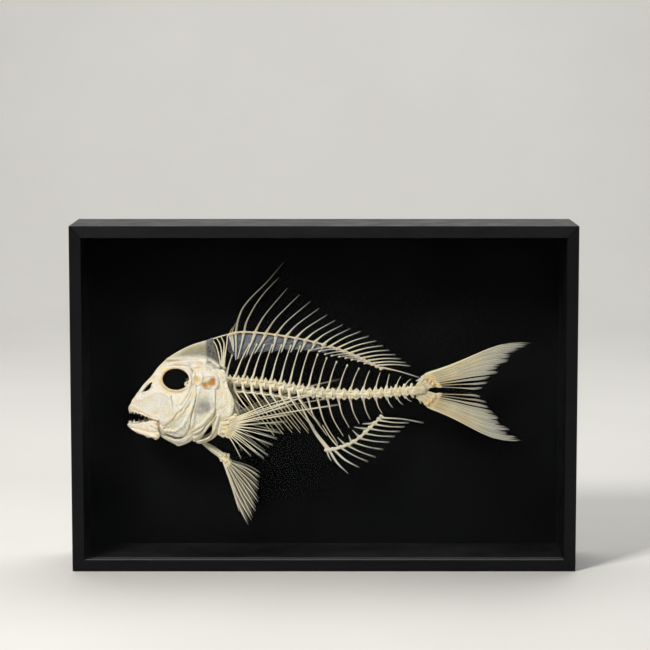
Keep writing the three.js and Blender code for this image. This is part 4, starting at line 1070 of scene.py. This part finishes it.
def support_foot(i):
    base = spine_base(i)
    if i < 4:
        return line(-91.4, 216, -90.6, 214.5, -88.6, 206, -86.9, 207)[i]
    ahead = 0
    while at_height(neural_spine(ahead + 1), base[2]) < base[0]:
        ahead += 1
    foot = base[2] - along([22, 17, 13, 5], (i - 4) / 7)
    return at(at_height(neural_spine(ahead), foot) + 2.3, foot)


def ridge_block(first, last, bases, knob):
    low, high = ridge_at(first), ridge_at(last)
    block = Block((first - 1, -4, min(low[2], high[2]) - 9), (last + 1.5, 4, 240))
    track = [ridge_at(x) for x in np.linspace(first + 0.8, last - 1.2, 24)]
    block.path(track, [0.85, 0.95, 0.85], 0.4, 0.85)
    for base in bases:
        block.rod(base + at(-1.2, -0.5), base + at(1.4, 0.3), (knob, knob * 0.7), 0.9, 1.1)
        for _, s in SIDES:
            block.rod(base + at(-0.6, 0.2, 0.9 * s), base + at(0.5, 1.7, 1.1 * s), (0.8, 0.5), 0.6)
    return block


def soft_ray(form, path, whole, radii, ends, spread, tints):
    """A ray that is whole up to one point of its path and has two branches from point 16 on."""
    base, middle, tip = tints
    tube(form, path[:whole], radii, flat=0.8, tint=[base, middle])
    for way in (-1, 1):
        branch = path[16:] + np.linspace(0, 1, 14)[:, None] * at(spread[0] * way, spread[1] * way)
        tube(form, branch, ends, flat=0.8, tint=[middle, tip])


def build_dorsal_fin():
    bone, mid, grey = (1.0, 0.91, 0.74), (0.92, 0.92, 0.88), (0.72, 0.73, 0.74)
    bases = [spine_base(i) for i in range(DORSAL_SPINES)]
    form = ridge_block(-97, 2.6, bases, 1.45).surface(tint=(0.94, 0.84, 0.67))
    for i, base in enumerate(bases):
        radii = [1.25, 0.8, 0.52, 0.38, 0.15] if i > 1 else [0.75, 0.5, 0.2]
        if i < 2:
            tints = [BROWN, (0.6, 0.48, 0.38)]
        else:
            dim = along([0.32, 0.42, 0.6, 0.78, 0.9, 0.92], (i - 2) / 9)
            tints = [np.array(bone) * (0.4 + 0.6 * dim), np.array(mid) * (0.2 + 0.8 * dim),
                np.array(grey) * dim]
        tube(form, spline(dorsal_spine_path(i), 44), radii, flat=0.85, tint=tints)
        foot = support_foot(i)
        wide = [1.6, 1.15, 0.8, 0.4] if i > 3 else [1.1, 0.9, 0.65, 0.4]
        tube(form, spline([base + at(-0.3, -1), (base + foot) / 2 + at(0.3, 0), foot], 16), wide,
            flat=0.45, tint=[(0.96, 0.93, 0.85), (0.82, 0.83, 0.82)])
    piece("dorsal_spines", form, "fin_bone", "dorsal_fin_spiny")

    bases = [ray_base(j) for j in range(DORSAL_RAYS)]
    form = ridge_block(4.2, 58.5, bases, 1.3).surface(tint=(0.94, 0.85, 0.69))
    feet = line(-14.5, 215.5, -4.5, 214.6, 1.5, 211.8, 8, 210.2, 15.5, 209.2, 22, 207.8, 28, 206.2,
        34.5, 204.8, 41, 202.4)
    for j, base in enumerate(bases):
        start = base + at(0, 1.2)
        last = j == DORSAL_RAYS - 1
        tip = reach(start, 39.7, -15.3) if last else reach(start, 33, 25.6 - 5.1 * j + 0.22 * j * j)
        path = spline(bowed(start, tip, 0.02 if last else 0.035), 30)
        soft_ray(form, path, 22, [0.95, 0.6, 0.44], [0.36, 0.28, 0.1], (0.1, 0.42),
            [bone, (0.82, 0.82, 0.79), (0.46, 0.46, 0.46)])
        if not last:
            tube(form, spline([feet[j], feet[j] * 0.5 + base * 0.5 + at(0, 0.6), base], 22),
                [0.36, 0.45, 0.7], flat=0.7, tint=[grey, mid])
            tube(form, spline([feet[j] - at(0.7, 0.4), feet[j] + at(0.7, 0.3)], 5), [0.8, 0.75],
                flat=0.8, tint=bone)
    piece("dorsal_rays", form, "fin_bone", "dorsal_fin_soft")


def closed_sheet(columns, rows):
    """Faces of a closed sheet: its front, its back and the wall round its rim."""
    count = columns * rows
    i, j = np.meshgrid(np.arange(columns - 1), np.arange(rows - 1), indexing="ij")
    a = i * rows + j
    quads = np.stack([a, a + rows, a + rows + 1, a + 1], -1).reshape(-1, 4)
    rim = np.concatenate([np.arange(columns) * rows, (columns - 1) * rows + np.arange(1, rows),
            np.arange(columns - 2, -1, -1) * rows + rows - 1, np.arange(rows - 2, 0, -1)])
    ahead = np.roll(rim, -1)
    wall = np.stack([ahead, rim, rim + count, ahead + count], -1)
    return np.vstack([quads, quads[:, ::-1] + count, wall])


def build_membrane():
    """The dried skin between the supports, rippled and torn along its lower edge."""
    columns, rows, half = 160, 24, 0.16
    s, v = np.meshgrid(np.linspace(0, 1, columns), np.linspace(0, 1, rows), indexing="ij")
    cover = 0.62 + 0.28 * grain(s * 70, v * 12, 0, 2.4) + 0.15 * v - 0.25 * s
    cover = cover - 0.42 * (1 - step_up(s, 0.02, 0.26))
    low = spline(xz(-96, 210, -90, 204.5, -84, 203, -78, 205.5, -70, 210, -58, 212, -45, 215,
            -25, 215, 3, 211.5), columns)[:, None]
    top = spline(xz(-97, 229, -82, 232, -50, 229.4, -12, 222.6, 3, 218), columns)[:, None]
    torn = (0.5 + 0.5 * grain(s * 90, 0.3, 0, 2.2)) * (1 - v)
    flat = low + (top - low) * (v + torn * 0.35)[..., None]
    wave = 1.6 + 0.35 * grain(flat[..., 0], flat[..., 1], 0, 5.0)
    faces = [
        np.stack([flat[..., 0], wave + y, flat[..., 1]], -1).reshape(-1, 3) for y in (-half, half)]
    cover = np.tile(np.clip(cover, 0.12, 0.92).reshape(-1), 2)
    form = Form().add(np.vstack(faces), closed_sheet(columns, rows), cover=cover)
    piece("dorsal_web", form, "dry_skin", "dorsal_membrane")


def build_supraneurals():
    """Four slender bones behind the crest, curved and meeting at their feet."""
    form = Form()
    bones = (line(-112.2, 227, -108, 219.6, -105.4, 209.8, -103.6, 200.6),
        line(-108, 228.3, -104.4, 221.8, -102.6, 212.4, -102.3, 202),
        line(-103.4, 229.6, -100.4, 222.6, -100.6, 212.6, -101.4, 202),
        line(-96.8, 230.8, -97.6, 221.4, -99.2, 211.2, -100.6, 199))
    for bone in bones:
        tube(form, spline(bone, 26), [0.5, 0.62, 0.68, 0.8, 1], flat=0.8,
            tint=[(0.92, 0.9, 0.84), WHITE])
    tube(form, spline(line(-112.6, 226.8, -105, 229.3, -97.6, 231.4), 20), [0.5, 0.6, 0.6, 0.5],
        flat=0.6, tint=(1, 0.97, 0.9))
    tube(form, spline(line(-103.4, 202.5, -101.8, 199.6, -100, 197.6), 12), [1.1, 1.5, 1.2],
        flat=0.7)
    piece("nape_bones", form, "body_bone", "supraneurals")


# ---- Anal fin ------------------------------------------------------------------------------

ANAL_BASE = spline(line(2, 113.8, 16, 116.6, 33.5, 125, 58.5, 148.6), 300)


def anal_at(x):
    return at(x, np.interp(x, ANAL_BASE[:, 0], ANAL_BASE[:, 2]))


def anal_ray_base(j):
    return anal_at(min(17.7 + 6.8 * j - 0.2 * j * j, 58.2))


def build_anal_fin():
    bone, tip_tint = IVORY, (0.54, 0.54, 0.54)
    block = Block((-1, -4, 109), (61, 4, 152))
    block.path(ANAL_BASE[::12] + at(0, 0.2), [1.7, 1.5, 1.35, 1.2], 0.3, 0.85)
    bases = [anal_at(x) for x in (2.9, 5.2, 9.6)]
    bases += [anal_ray_base(j) for j in range(ANAL_RAYS)]
    for base in bases:
        block.rod(base + at(-1, 0.6), base + at(1.2, -0.8), (1.6, 1.3), 0.8, 1.1)
    form = block.surface(tint=bone)
    for x, length, angle, r in ((2.9, 11.5, -68, 0.9), (5.2, 30.5, -51.6, 1.4),
            (9.6, 31.5, -35.8, 1.3)):
        base = anal_at(x)
        tube(form, spline(bowed(base, reach(base, length, angle), -0.06), 24),
            [r, r * 0.85, r * 0.6, 0.3], flat=0.85, tint=[bone, WHITE, tip_tint])
    for j in range(ANAL_RAYS):
        base = anal_ray_base(j) + at(0, -1.2)
        last = j == ANAL_RAYS - 1
        angle = -7 if last else -5 - 22 * math.exp(-j * j / 4.2)
        path = spline(
            bowed(base, reach(base, 42.5 if last else 30, angle), 0.03 if last else -0.03), 30)
        soft_ray(form, path, 19, [0.95, 0.6, 0.46], [0.38, 0.3, 0.12], (0.12, 0.55),
            [bone, ASH, tip_tint])
    thick = line(4.2, 115.2, -8.3, 131.5, -17, 147, -23, 160)
    tube(form, spline(thick, 30), [2.1, 1.7, 1.2, 0.8, 0.5], sides=14, flat=0.6, tint=bone)
    tube(form, spline(line(15, 116.6, 6.6, 126.5, -1.5, 139.5), 20), [0.8, 0.6, 0.35], flat=0.6,
        tint=bone)
    for x, top_x, top_z in ((22, 13.8, 127), (28, 24.8, 129.2), (36, 28.8, 134.4),
            (45, 30.5, 137.6), (51, 38.8, 141)):
        tube(form, spline([anal_at(x), at(top_x, top_z)], 14), [1.7, 1, 0.6, 0.32], flat=0.4,
            tint=[(0.6, 0.61, 0.6), (0.7, 0.7, 0.68), ASH])
    piece("anal_fin_bones", form, "fin_bone", "anal_fin")


# ---- Tail fin ------------------------------------------------------------------------------

def tail_ray(form, place, tints, thick, seed):
    """A closed ray that splits into two and again into four, with a frayed end."""
    columns, rows, web, notch, fringe = 37, 100, 0.35, 0.11, 0.014
    first_split, second_split = 0.34, 0.68
    s, v = np.meshgrid(np.linspace(0, 1, columns), np.linspace(0, 1, rows), indexing="ij")
    single, double, fourfold = (np.abs(np.sin(k * np.pi * s)) ** 0.7 for k in (1, 2, 4))
    first = step_up(v, first_split - 0.08, first_split + 0.14)
    second = step_up(v, second_split - 0.08, second_split + 0.12)
    ridge = single * (1 - first) + double * first * (1 - second) + fourfold * second * first
    joints = 1 - 0.12 * (np.sin(v * rows * 0.9 + 3 * s) > 0.86) * step_up(v, 0.25, 0.4)
    half = (web + (thick - web) * ridge * joints) / 2 * (1 - 0.55 * v)
    half = half * np.clip(0.3 + np.minimum(s, 1 - s) * 6, 0, 1)
    hairs = np.sin(s * 61) * np.sin(s * 37 + 1.3) + 0.6 * np.sin(s * 93 + 2.1)
    barb = 3 * s + 0.5 * seed
    depth = notch * (0.75 + 0.35 * np.sin(2.1 * np.floor(barb) + seed))
    barbs = 1 - np.abs(2 * (barb % 1) - 1)
    tips = 1 - depth * (1 - barbs) - fringe * (0.8 + 0.5 * hairs)
    flat = place(s, v * (1 + (tips - 1) * v ** 3))
    sideways = np.stack([0 * half, half, 0 * half], -1)
    streaks = np.sin(s * 17 + seed + 2 * np.sin(v * 3 + seed)) * np.sin(s * 9 + 2.3 * seed + 4 * v)
    streaks = 0.5 + 0.5 * streaks
    flecks = step_up(grain(s * 9 + 7 * seed, v * 16, 0, 1), 0.35, 0.75)
    flecks = flecks * np.clip(1.4 - 1.6 * v, 0, 1)
    shade = ((0.44 + 0.54 * ridge) * (0.74 + 0.34 * streaks) * (1 - 0.42 * flecks))[..., None]
    tint = along(tints, v) * (shade * (1 - 0.4 * v[..., None]) + 0.4 * v[..., None])
    seen = along((1, 1, 1, 1, 0.92, 0.55), v) * (1 - 0.45 * (1 - ridge) * v ** 2)
    seen = np.clip(seen * (1 + 0.12 * hairs * v ** 2), 0.03, 1)
    faces = closed_sheet(columns, rows)
    if np.cross(flat[1, 0] - flat[0, 0], flat[0, 1] - flat[0, 0])[1] > 0:
        faces = faces[:, ::-1]
    points = np.vstack([(flat + way * sideways).reshape(-1, 3) for way in (-1, 1)])
    form.add(points, faces, (), np.vstack([tint.reshape(-1, 3)] * 2), np.tile(seen.reshape(-1), 2))


def lobe_place(up):
    bulge = 7 if up else -6.6

    def place(s, v):
        if up:
            root_x, root_z = 102 + 13.8 * s, 191 - 13 * s
            tip_x, tip_z = 208 - 50 * s ** 0.74, 222.8 - 49.6 * s
        else:
            root_x, root_z = 104.8 + 11.4 * s, 158.6 + 13.6 * s
            tip_x, tip_z = 198 - 40.5 * s ** 0.82, 123.6 + 49.2 * s
        dx, dz = tip_x - root_x, tip_z - root_z
        length = np.hypot(dx, dz)
        lift = bulge * (1 - s) ** 1.5 * np.sin(np.pi * v ** 2)
        x = root_x + dx * v - dz / length * lift
        z = root_z + dz * v + dx / length * lift
        spread = 0.35 * grain(x, z, 0, 9.0) * v
        return np.stack([x, spread, z], -1)

    return place


def build_tail():
    """Each lobe is nine rays side by side; those next to the fork stand apart."""
    tints = ((0.9, 0.79, 0.56), (0.88, 0.8, 0.62), (0.86, 0.81, 0.68), (0.84, 0.83, 0.76),
        (0.84, 0.85, 0.86))
    for word, up in (("upper", True), ("lower", False)):
        place = lobe_place(up)
        form = Form()
        for k in range(TAIL_RAYS):
            inner = float(np.clip((k - 4.4) / 2.2, 0, 1.15))
            shade = 1 + 0.07 * math.sin(3.1 * k + (0 if up else 1.7))
            ragged = 0.035 * math.sin(2.7 * k + (0.6 if up else 2.2))

            def ray_place(s, v, k=k, inner=inner, ragged=ragged):
                overlap = 0 if inner else 0.1
                gap = 0.33 * inner * np.sin(np.pi * np.clip(v * 0.7 + 0.18, 0, 1)) - overlap
                point = 0.9 * step_up(v, 0.76, 1.04)
                target = (k + 0.25 - 0.25 * inner) / TAIL_RAYS
                share = (k + gap + s * (1 - 2 * gap)) / TAIL_RAYS
                share = share + point * (target - share) * (0.55 if k else 0.2)
                return place(np.clip(share, 0, 1), v * (1 + ragged * v ** 3 - 0.02 * inner))

            tail_ray(form, ray_place, shade * np.array(tints), 1.7 - 0.04 * k, 1.3 * k + 0.7 * up)
            base = place(np.full(8, (k + 0.5) / TAIL_RAYS), np.linspace(-0.05, 0.07, 8))
            tube(form, base, [0.7, 1.2, 0.8], tint=(1.1, 0.9, 0.58))
        outward = 1 if up else -1
        for k in range(5):
            wedge = [at(92.5 + 1.6 * k, 176 + outward * (8.6 + k)),
                at(98 + 1.4 * k, 176 + outward * (10.4 + 1.2 * k)),
                at(104.6 + k, (191.2 if up else 158.2) + outward * (0.2 - 1.4 * k))]
            tube(form, spline(wedge, 14), [0.35, 0.7, 0.9], flat=0.8, tint=(0.96, 0.93, 0.84))
        for k in range(6):
            v = np.linspace(0.0, 0.1 + 0.13 * k, 26)
            lean = (1.1 - 0.14 * k) * np.sin(np.linspace(0.15, 1, 26) * np.pi / 2) - 0.14 * k
            lift = np.stack([0 * lean, 0 * lean, lean + 0.25], -1) * outward
            tube(form, place(np.zeros(26), v) + lift, [0.9, 0.75, 0.3], flat=0.8,
                tint=(1.12, 1.05, 0.84))
        ochre, z = (0.98, 0.78, 0.46), 187 if up else 163.5
        form.paint([(109, z, 4.5, ochre, 0.9), (124, z + 12 * outward, 6, ochre, 0.45),
                (138, z + 16 * outward, 7, ochre, 0.35),
                (130, z + 6 * outward, 5, (0.9, 0.84, 0.7), 0.5),
                (150, z + 21 * outward, 8, (1, 0.88, 0.62), 0.4)])
        piece(f"tail_lobe_{word}", form, "fin_bone", f"caudal_fin_{word}")

    start = column(STARTS[LAST_SPOOL])
    block = Block((start[0] - 0.5, -4.5, 157.5), (118, 4.5, 193))
    block.path([start + at(0.6, 0), at(100, 176.3), at(104, 176.8)], [4, 3.7, 1.9], 0.6, 0.85)
    for k in range(4):
        block.rod(start + at(2.2 + 2.4 * k, 1.5), start + at(2.2 + 2.4 * k, -1.6),
            (3.5 - 0.3 * k, 3.5 - 0.3 * k), 0.3)
    for k in range(4):
        s = (k + 0.2) / 4.0
        a, b = at(start[0] + 1.5 + 8 * s, 178.2 - 1.8 * s), at(101 + 13.8 * s, 190.0 - 12 * s)
        block.rod(a, b, (1.2, 2.1), 0.4, 0.5)
        a, b = at(start[0] + 1.5 + 8 * s, 172.2 + 3.4 * s), at(103.6 + 11.4 * s, 159.8 + 12.6 * s)
        block.rod(a, b, (1.2, 2), 0.4, 0.5)
    for k in range(4):
        reach_up = at(6.5 + 3.4 * k, 12.2 - 0.8 * k)
        block.rod(start + at(0.5 + 2 * k, 2.5), start + reach_up, (0.9, 0.5), 0.4, 0.7)
        block.rod(start + at(0.5 + 2 * k, -2.5), start + reach_up * [1, 1, -1.12], (0.9, 0.5), 0.4,
            0.7)
    for spot in ((103, 187.6), (106.5, 184.4), (109.5, 181.6), (104.6, 161.6), (108, 165),
            (111, 168.6)):
        block.rod(at(*spot, -1.2), at(*spot, 1.2), (2, 2), 0.6)
    form = block.surface(tint=(0.76, 0.73, 0.64))
    tan = (0.96, 0.8, 0.52)
    form.paint([(105, 186, 3.6, tan, 0.9), (109, 182, 3, tan, 0.6), (106, 162.5, 3.6, tan, 0.9),
            (110, 167, 3, tan, 0.6)])
    piece("tail_root", form, "body_bone", "caudal_base")


# ---- Paired fins ---------------------------------------------------------------------------

def build_shoulders():
    outline = xz(-106.4, 197, -99.6, 197.6, -97.4, 190, -95.4, 181, -91.4, 172.6, -89.6, 166.6,
        -90, 159.6, -91.8, 153.4, -97, 150, -102.2, 149, -104.6, 146.6, -105.6, 142.3, -106, 134,
        -110.8, 127.8, -118.2, 123.6, -126.2, 121.8, -129.4, 126, -121.8, 127.2, -115.4, 130.4,
        -112.2, 135.9, -112.2, 142.3, -111.2, 147.2, -109.6, 152.6, -109.2, 160, -109.4, 170,
        -109.4, 180, -108.6, 189)
    plate("cleithrum", "body_bone", "pectoral_girdle", outline, lift=-1.5, thick=2.0, thin_edge=0.7,
        ridges=[(xz(-103, 194, -102.2, 184, -99.4, 176, -99, 166), 2.2, 0.5),
            (xz(-96.5, 182, -92.8, 168, -93.4, 156), 2.2, 0.9),
            (xz(-105.5, 152, -109.4, 138, -116, 128.6, -127, 124), 1.5, 1.5)],
        pits=[(-98.6, 172, 4, 0.5), (-98.5, 160, 4, 0.5)], patches=[(-98, 170, 8, WHITE, 0.6),
            (-100, 190, 5, IVORY, 0.6), (-110, 140, 5, (1, 0.92, 0.74), 0.7)])

    plate("supracleithrum", "body_bone", "pectoral_girdle", xz(-112.6, 197.2, -108.3, 199,
            -103.2, 197.6, -99.2, 193.5, -98.2, 187.7, -103.2, 184.2, -106.4, 186.7, -107.6, 191.6),
        lift=-1.0, thick=1.6, ridges=[(xz(-110, 197, -104, 192, -101, 187), 1.6, 0.8)],
        tint=(1, 0.98, 0.93))

    for word, side in SIDES:
        near, far = (12, 24) if side == RIGHT else (-24, -12)
        block = Block((-107, near, 127), (-82, far, 157))
        for k in range(4):
            outer = at(-88.6 - 1.4 * k - 0.5 * max(0, k - 1) ** 2, 150.8 - 5.6 * k,
                side * (18.9 - 0.5 * k))
            inner = at(-102.4 + 0.4 * k, 148.6 - 4.2 * k, side * (17.4 - 0.5 * k))
            block.rod(inner, outer, (2.6, 2.7), 0.8, 0.8)
            for t, size in ((0.12, 1), (0.55, 0.8), (0.85, 1.1)):
                knob = inner + (outer - inner) * t + at(0, 1.4 * math.sin(4.1 * k + 6 * t),
                    side * 1.2)
                block.rod(knob, knob + at(1.2, 0.3, side * 0.4), (size, 0.8 * size), 0.5)
            if k < 3:
                hole = inner + (outer - inner) * (0.3 + 0.16 * k) + at(0.5, -2.6, 0)
                block.rod(hole - at(0, 0, 5), hole + at(0.8, 0.2, 5), (1.3, 1.3), 0.5, hollow=True)
        block.arms(side,
            [([(-104, 151.6, 17.6), (-103.6, 142, 17), (-104.6, 133.6, 15.6), (-101, 130.6, 15)],
                [1.7, 1.9, 1.8, 1.3], 0.9, 0.8)])
        for k in range(9):
            t = k / 8
            spot = at(along([-87.6, -89.6, -96], t), along([153.4, 142, 130.2], t),
                side * along([20, 18], t))
            block.rod(spot + at(-1.2, 0.4 * math.sin(5 * k)), spot + at(0.3, 0),
                (1.3 + 0.3 * math.sin(3 * k), 1), 0.5)
        form = block.surface(tint=IVORY)
        form.paint([(-96, 141, 4, (1, 0.9, 0.7), 0.7), (-103, 134, 4, WHITE, 0.5),
                (-90, 148, 3, WHITE, 0.6)])
        piece(f"fin_plate_{word}", form, "body_bone", f"pectoral_girdle_{word}")

    for word, side in SIDES:
        path = spline(
            [at(-91.5, 168, side * 18.8), at(-88, 159, side * 17), at(-84, 150, side * 14)], 20)
        form = tube(Form(), path, [1.3, 1.8, 1.5, 0.6], flat=0.5, tint=(0.93, 0.94, 0.95))
        piece(f"postcleithrum_{word}", form, "body_bone", f"pectoral_girdle_{word}")


def build_pectoral_fins():
    tips = xz(16, 182, -8, 176, -25, 171, -30, 165.5, 17, 165, -32, 155, -37, 147.5, -43, 136,
        -47, 130, -51, 123.5, -56, 113, -60, 109.5, -65, 113, -73, 112, -83, 109.5)
    bows = [0.036, 0.015, 0, 0, 0.012]
    rays, upper = len(tips), 6
    for word, side in SIDES:
        form = Form()
        dim = FAR_PECTORAL if side == RIGHT else 1.0
        base, pale, grey = dim * np.array(
            [(1.12, 1.02, 0.82), (1.04, 0.98, 0.84), (0.72, 0.71, 0.66)])
        for i in range(rays):
            s = i / (rays - 1)
            root = at(along([-87.6, -89, -95], s), along([150.4, 141, 130.8], s),
                side * along([20, 18], s))
            tip = at(*tips[i], side * along([32, 27, 25, 22], s))
            bow = bows[i] if i < len(bows) else 0.008 + 0.012 * math.sin(i * 1.9)
            path = spline(bowed(root, tip, bow, 0.42), 40)
            tube(form, path[:20], [1, 0.66, 0.54, 0.45], flat=0.6, tint=[base, pale])
            for way in (-1, 1):
                opening = np.linspace(0, 1, 25) ** 1.3
                spread = opening[:, None] * at(0.15 * way, 0.55 * way)
                radii, tints = (([0.46, 0.46, 0.38, 0.1], [pale, pale, grey]) if i < upper
                        else ([0.38, 0.33, 0.25, 0.1], [pale, grey]))
                tube(form, path[15:] + spread, radii, flat=0.7, tint=tints)
            knob = root + at(-6.4 - 1.3 * math.sin(2.3 * i),
                0.14 * (141 - root[2]) + 0.3 * math.cos(1.7 * i), side * 1.1)
            tube(form,
                spline([knob, (knob + root) / 2 + at(0, 0, side * 0.5), root + at(0.6, 0)], 10),
                [0.45, 0.9, 0.75, 0.95], flat=0.9, tint=[0.9 * base, base])
        piece(f"pectoral_rays_{word}", form, "fin_bone", f"pectoral_fin_{word}")


def build_pelvis():
    block = Block((-125, -9, 97), (-93, 9, 126))
    for _, s in SIDES:
        block.arms(s,
            (([(-122, 121.5, 1), (-112, 114.3, 2.6), (-104, 108.5, 3.8), (-100.5, 105.6, 4.2)],
                [1.4, 2.3, 2.3, 2.6], 0.6, 0.6),
                ([(-121, 122.6, 0.7), (-110, 116.6, 1.2), (-101, 109.6, 1.6)], [0.8, 0.9, 1.2], 0.8,
                0.8), ([(-104, 106.6, 3.8), (-98.4, 103.8, 4.2)], [1.6, 2.2], 0.8)))
        for x, z, r in ((-103.6, 109.4, 1.5), (-100.2, 109.8, 1.6), (-96.8, 109, 1.4),
                (-97, 105.6, 1.7), (-103.8, 104.4, 1.3), (-100.6, 102.2, 1.5)):
            block.rod(at(x, z, 3.4 * s), at(x + 0.8, z - 0.4, 4.6 * s), (r, 0.8 * r), 0.5)
    form = block.surface(tint=(0.84, 0.84, 0.8))
    form.paint([(-112, 114, 7, (0.62, 0.64, 0.62), 0.6), (-100, 105.6, 4, (0.98, 0.9, 0.72), 0.8)])
    piece("pelvic_bones", form, "body_bone", "pelvic_girdle")

    tips = [at(-74.6, 38.2, 8), at(-68.4, 47, 9), at(-66.2, 58.5, 10), at(-65, 71, 11),
        at(-63.4, 85, 12)]
    pale = ((1.06, 0.96, 0.76), (1.06, 0.99, 0.86), (0.86, 0.85, 0.82))
    for word, side in SIDES:
        root = at(-100.8, 102.4, side * 4.2)
        form = Form()
        tube(form, spline([root, at(-93.6, 80, side * 5), at(-85.6, 53, side * 7)], 30),
            [1.3, 0.85, 0.55, 0.2], flat=0.85, tint=[(1.12, 1.08, 0.98), (1, 1, 0.96)])
        for k, tip in enumerate(tips):
            tip = tip * [1, side, 1]
            start = root + at(0.8 + 0.9 * k, 0.2 + 0.35 * k, side * 0.15 * k)
            chord = tip - start
            across = at(-chord[2], chord[0]) / np.linalg.norm(chord)
            path = spline(bowed(start, tip, -0.035 + 0.022 * k, 0.55), 44)
            run = np.linspace(0, 1, 44)[:, None]
            tints = (0.98 - 0.09 * k) * (FAR_PELVIC if side == RIGHT else 1.0) * np.array(pale)
            for branch in (-1, 1):
                apart = (branch + (0.5 if k == 0 else 0)) * (3.1 * run ** 1.15 - 0.5 * run ** 8)
                for m in (-1.5, -0.5, 0.5, 1.5):
                    keep = 43 - int(
                        2.0 * abs(math.sin(2.3 * m + 1.7 * k + branch)) + 2.2 * abs(m) + branch)
                    spread = across * (apart + m * (0.1 + 0.46 * run ** 1.2 - 0.32 * run ** 6))
                    strand = (path + spread)[:keep] + at(0, 0, side * 0.25 * math.sin(2 * m + k))
                    tube(form, strand, [0.34, 0.28, 0.29, 0.28, 0.07], sides=8, flat=0.8,
                        tint=tints)
            tube(form, spline([start - at(0.6, -0.8), start + chord * 0.08], 6), [1, 1],
                tint=pale[0])
        piece(f"pelvic_rays_{word}", form, "fin_bone", f"pelvic_fin_{word}")


# ---- Stage ---------------------------------------------------------------------------------

CAMERA_PLACE = (0.001, -2.457, 0.5239)
CAMERA_PITCH = 6.57
SENSOR_WIDTH = 36
FOCAL_SHARE = 2465 / 650  # focal length over image width


def area_light(name, place, target, size, power, colour=(1, 1, 1)):
    data = bpy.data.lights.new(name, "AREA")
    data.shape = "RECTANGLE"
    data.size, data.size_y = size
    data.energy = power
    data.color = colour
    lamp = bpy.data.objects.new(name, data)
    lamp.location = place
    lamp.rotation_euler = (Vector(target) - Vector(place)).to_track_quat("-Z", "Y").to_euler()
    bpy.context.scene.collection.objects.link(lamp)


def build_stage():
    turn = np.radians(np.linspace(0, 90, 13))
    profile = [(-6, 0)] + [(1.9 + 1.2 * math.sin(a), 1.2 - 1.2 * math.cos(a)) for a in turn] + [
        (3.1, 5)]
    mesh = bpy.data.meshes.new("sweep")
    points = [(x, y, z) for x in (-7, 7) for y, z in profile]
    count = len(profile)
    mesh.from_pydata(points, [], [(i, i + count, i + count + 1, i + 1) for i in range(count - 1)])
    mesh.polygons.foreach_set("use_smooth", [True] * len(mesh.polygons))
    mesh.materials.append(plain_material("plain_pale_floor", (3, 4), (0.6, 0.59, 0.56),
            (0.63, 0.62, 0.59), 5, (0.6, 0.7), (200, 0.05, 0.001)))
    floor = bpy.data.objects.new("floor", mesh)
    bpy.context.scene.collection.objects.link(floor)
    middle = (0, 0, 0.17)
    area_light("key_light", (-1.35, -1.75, 2.05), middle, (0.6, 0.6), 86, (1, 0.985, 0.955))
    area_light("fill_light", (1.7, -2.2, 1.1), middle, (1.4, 1.4), 10, (0.95, 0.98, 1))
    area_light("top_light", (0.1, 0.9, 2.6), (0, 1.2, 0.6), (2.4, 1.6), 60)
    world = bpy.data.worlds.new("studio")
    bpy.context.scene.world = world
    world.use_nodes = True
    sky = world.node_tree.nodes["Background"]
    sky.inputs["Color"].default_value = (0.6, 0.6, 0.56, 1)
    sky.inputs["Strength"].default_value = 0.14
    camera = bpy.data.objects.new("camera", bpy.data.cameras.new("camera"))
    camera.data.sensor_width = SENSOR_WIDTH
    camera.data.lens = SENSOR_WIDTH * FOCAL_SHARE
    camera.location = CAMERA_PLACE
    camera.rotation_euler = Euler((math.radians(90 - CAMERA_PITCH), 0, 0))
    camera.data.clip_start, camera.data.clip_end = 0.05, 50
    bpy.context.scene.collection.objects.link(camera)
    bpy.context.scene.camera = camera
    bpy.context.scene.view_settings.view_transform = "Standard"


for build in (build_case, build_cranium, build_jaws, build_cheeks, build_gill_covers,
              build_backbone, build_ribs, build_supraneurals, build_dorsal_fin, build_membrane,
              build_anal_fin, build_tail, build_shoulders, build_pectoral_fins, build_pelvis,
              build_stage):
    build()
